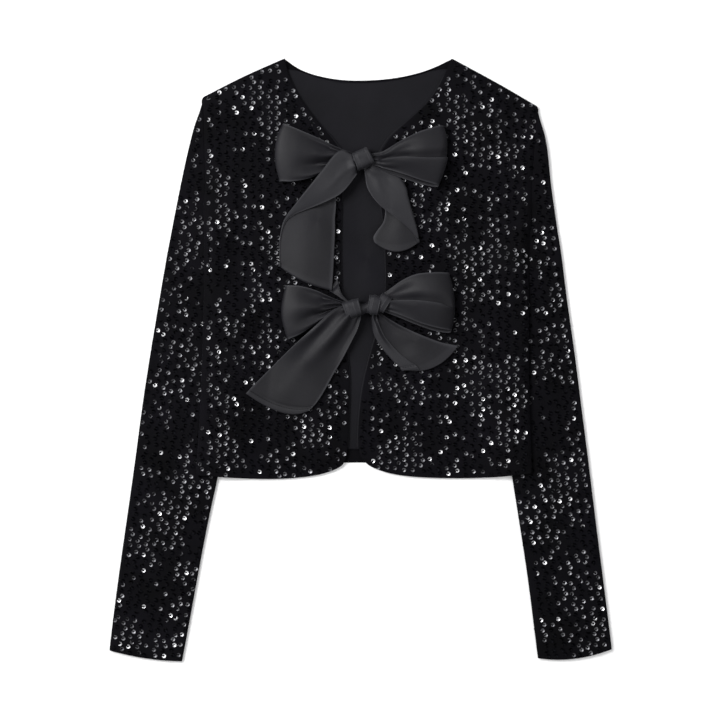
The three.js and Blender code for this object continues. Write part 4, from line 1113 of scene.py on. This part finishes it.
def turn_of_ribbon(name, turn, material):
    """One flat-faced turn of ribbon round a knot, with rolled edges and folds along it."""
    middle, lean, (wide, long, deep), flare, folds = turn
    u = np.linspace(-1, 1, TURN_STATIONS["across"])
    angle = np.linspace(-TURN_ROUND, TURN_ROUND, TURN_STATIONS["round"]) * math.pi
    raised = ROLL_HIGH * ridge(np.abs(u), *ROLLED_EDGE) - CROWN * u * u
    for place, high in folds:
        flattens = np.exp(-np.maximum(u - place, 0) / TURN_FOLD["fades"])
        raised += high * rises(u, place, TURN_FOLD["step"]) * flattens
    sine, cosine = math.sin(math.radians(lean)), math.cos(math.radians(lean))
    down, across = np.array([sine, -cosine, 0]), np.array([cosine, sine, 0])
    section = squared(np.sin(angle))[:, None] * long * down
    section += squared(np.cos(angle))[:, None] * np.array([0, 0, deep])
    widening = 1 + flare * np.sin(angle)
    sideways = np.array(middle) + widening[:, None, None] * u[None, :, None] * wide * across

    def layer(height):
        return sideways + section[:, None] * (1 + height / deep)[None, :, None]

    outer, inner = layer(raised), layer(raised - RIBBON_THICK)
    # Rolled edges paler, and the whole turn painted paler than the cloth beneath
    paler = np.tile(np.maximum(rises(np.abs(u), *TURN_EDGE), TOP_LAYER_PAINTED_PALER), (len(angle), 1))
    return shell_object(name, outer, inner, (u + 1) / 2, run_along(section), paler, material, None)


def knot(node, material):
    """A tied knot: its core and the turns of ribbon round it."""
    turns = []
    for number, turn in enumerate(KNOT_TURNS[node], 1):
        turns.append(turn_of_ribbon(f"{node}_turn_{number}", turn, material))
    return [knot_core(node, material), *turns]


# Stage


def area_light(name, place, size, power):
    """A soft box that faces the jacket's middle."""
    data = bpy.data.lights.new(name, "AREA")
    data.shape = "RECTANGLE"
    data.size, data.size_y = size
    data.energy = power
    obj = bpy.data.objects.new(name, data)
    obj.location = place
    obj.rotation_euler = (-Vector(place)).to_track_quat("-Z", "Y").to_euler()
    bpy.context.scene.collection.objects.link(obj)


def stage():
    """Camera over the jacket, a white table, and soft light all round, strongest from the wearer's right."""
    camera = bpy.data.objects.new("camera", bpy.data.cameras.new("camera"))
    camera.data.sensor_width = SENSOR
    camera.data.lens = SENSOR * CAMERA_HEIGHT / FRAME_WIDTH
    camera.location = (*FRAME_CENTRE, CAMERA_HEIGHT)
    bpy.context.scene.collection.objects.link(camera)
    bpy.context.scene.camera = camera
    below = (0, 0, -FLOOR_LOWER)
    bpy.ops.mesh.primitive_grid_add(x_subdivisions=2, y_subdivisions=2, size=FLOOR_SIZE, location=below)
    floor = bpy.context.object
    floor.name = "table_top"
    floor.data.materials.append(floor_material())
    for name, (place, size, power) in LIGHTS.items():
        area_light(name, place, size, power)
    world = bpy.data.worlds.new("studio")
    world.use_nodes = True
    tree = world.node_tree
    way = tree.nodes.new("ShaderNodeTexCoord")
    split = tree.nodes.new("ShaderNodeSeparateXYZ")
    ramp = tree.nodes.new("ShaderNodeValToRGB")
    for element, (position, colour) in zip(ramp.color_ramp.elements, SKY):
        element.position = position
        element.color = colour
    tree.links.new(way.outputs["Generated"], split.inputs[0])
    tree.links.new(split.outputs["Z"], ramp.inputs["Fac"])
    tree.links.new(ramp.outputs["Color"], tree.nodes["Background"].inputs["Color"])
    tree.nodes["Background"].inputs["Strength"].default_value = SKY_STRENGTH
    bpy.context.scene.world = world
    bpy.context.scene.view_settings.view_transform = "Standard"


MATERIALS = {
    "velvet": velvet_material(),
    "sequins": sequin_material(),
    "thread": thread_material(),
    # The ribbon's pale edge colour also paints its paler top layers and the flaps' highlights
    "ribbon": satin_material(
        "ribbon_satin", dark=(0.0056, 0.0054, 0.0072), light=(0.0096, 0.0093, 0.012),
        roughness=0.56, edge=(0.026, 0.026, 0.03), shine=0.22,
    ),
    "lining": satin_material(
        "lining_satin", dark=(0.003, 0.0029, 0.0044), light=(0.0053, 0.005, 0.0074),
        roughness=0.6, edge=(0.006, 0.006, 0.0075), shine=0.1,
    ),
    # The same thread again, for the ribbons' stitches
    "ribbon_thread": thread_material(),
}


def build_panels():
    """The panels and what is sewn on them. Returns the mesh tree of each panel with sequins."""
    panels = {node: cloth_panel(node, MATERIALS["velvet"], PILE) for node in SEQUIN_PANELS}
    linings = {
        node: cloth_panel(node, MATERIALS["lining"], LINING_INSIDE)
        for node in ("back_lining", "facing_right", "facing_left")
    }
    trees = {node: tree_of(obj.data) for node, obj in panels.items()}
    sewn_on = {node: [] for node in PANEL_CUTS}
    materials = [MATERIALS["sequins"], MATERIALS["thread"]]
    for node, (angle, sides) in SEQUIN_PANELS.items():
        for side in sides:
            sites = sequin_sites(node, trees, angle, side == "above")
            sewn_on[node].append(sequins(f"{node}_sequins_{side}", sites, angle, materials, side == "below"))
    return trees


def build_bows(fronts):
    """The knots and every stretch of ribbon that shows."""
    knots = {node: knot(node, MATERIALS["ribbon"]) for node in KNOT_TURNS}
    for rows_by_name, make_grid, stations in (
        (LOOPS, strip_grid, (34, 96)),
        (STRIPS, strip_grid, (34, 72)),
        (FOLDED, folded_grid, (56, 72)),
    ):
        for name, rows in rows_by_name.items():
            obj, pieces = ribbon(name, make_grid, rows, MATERIALS["ribbon"], fronts, stations)
            if name.endswith("loop_right"):
                pieces += knots[name.replace("loop_right", "knot")]


stage()
trees = build_panels()
build_bows([trees["front_right"], trees["front_left"]])
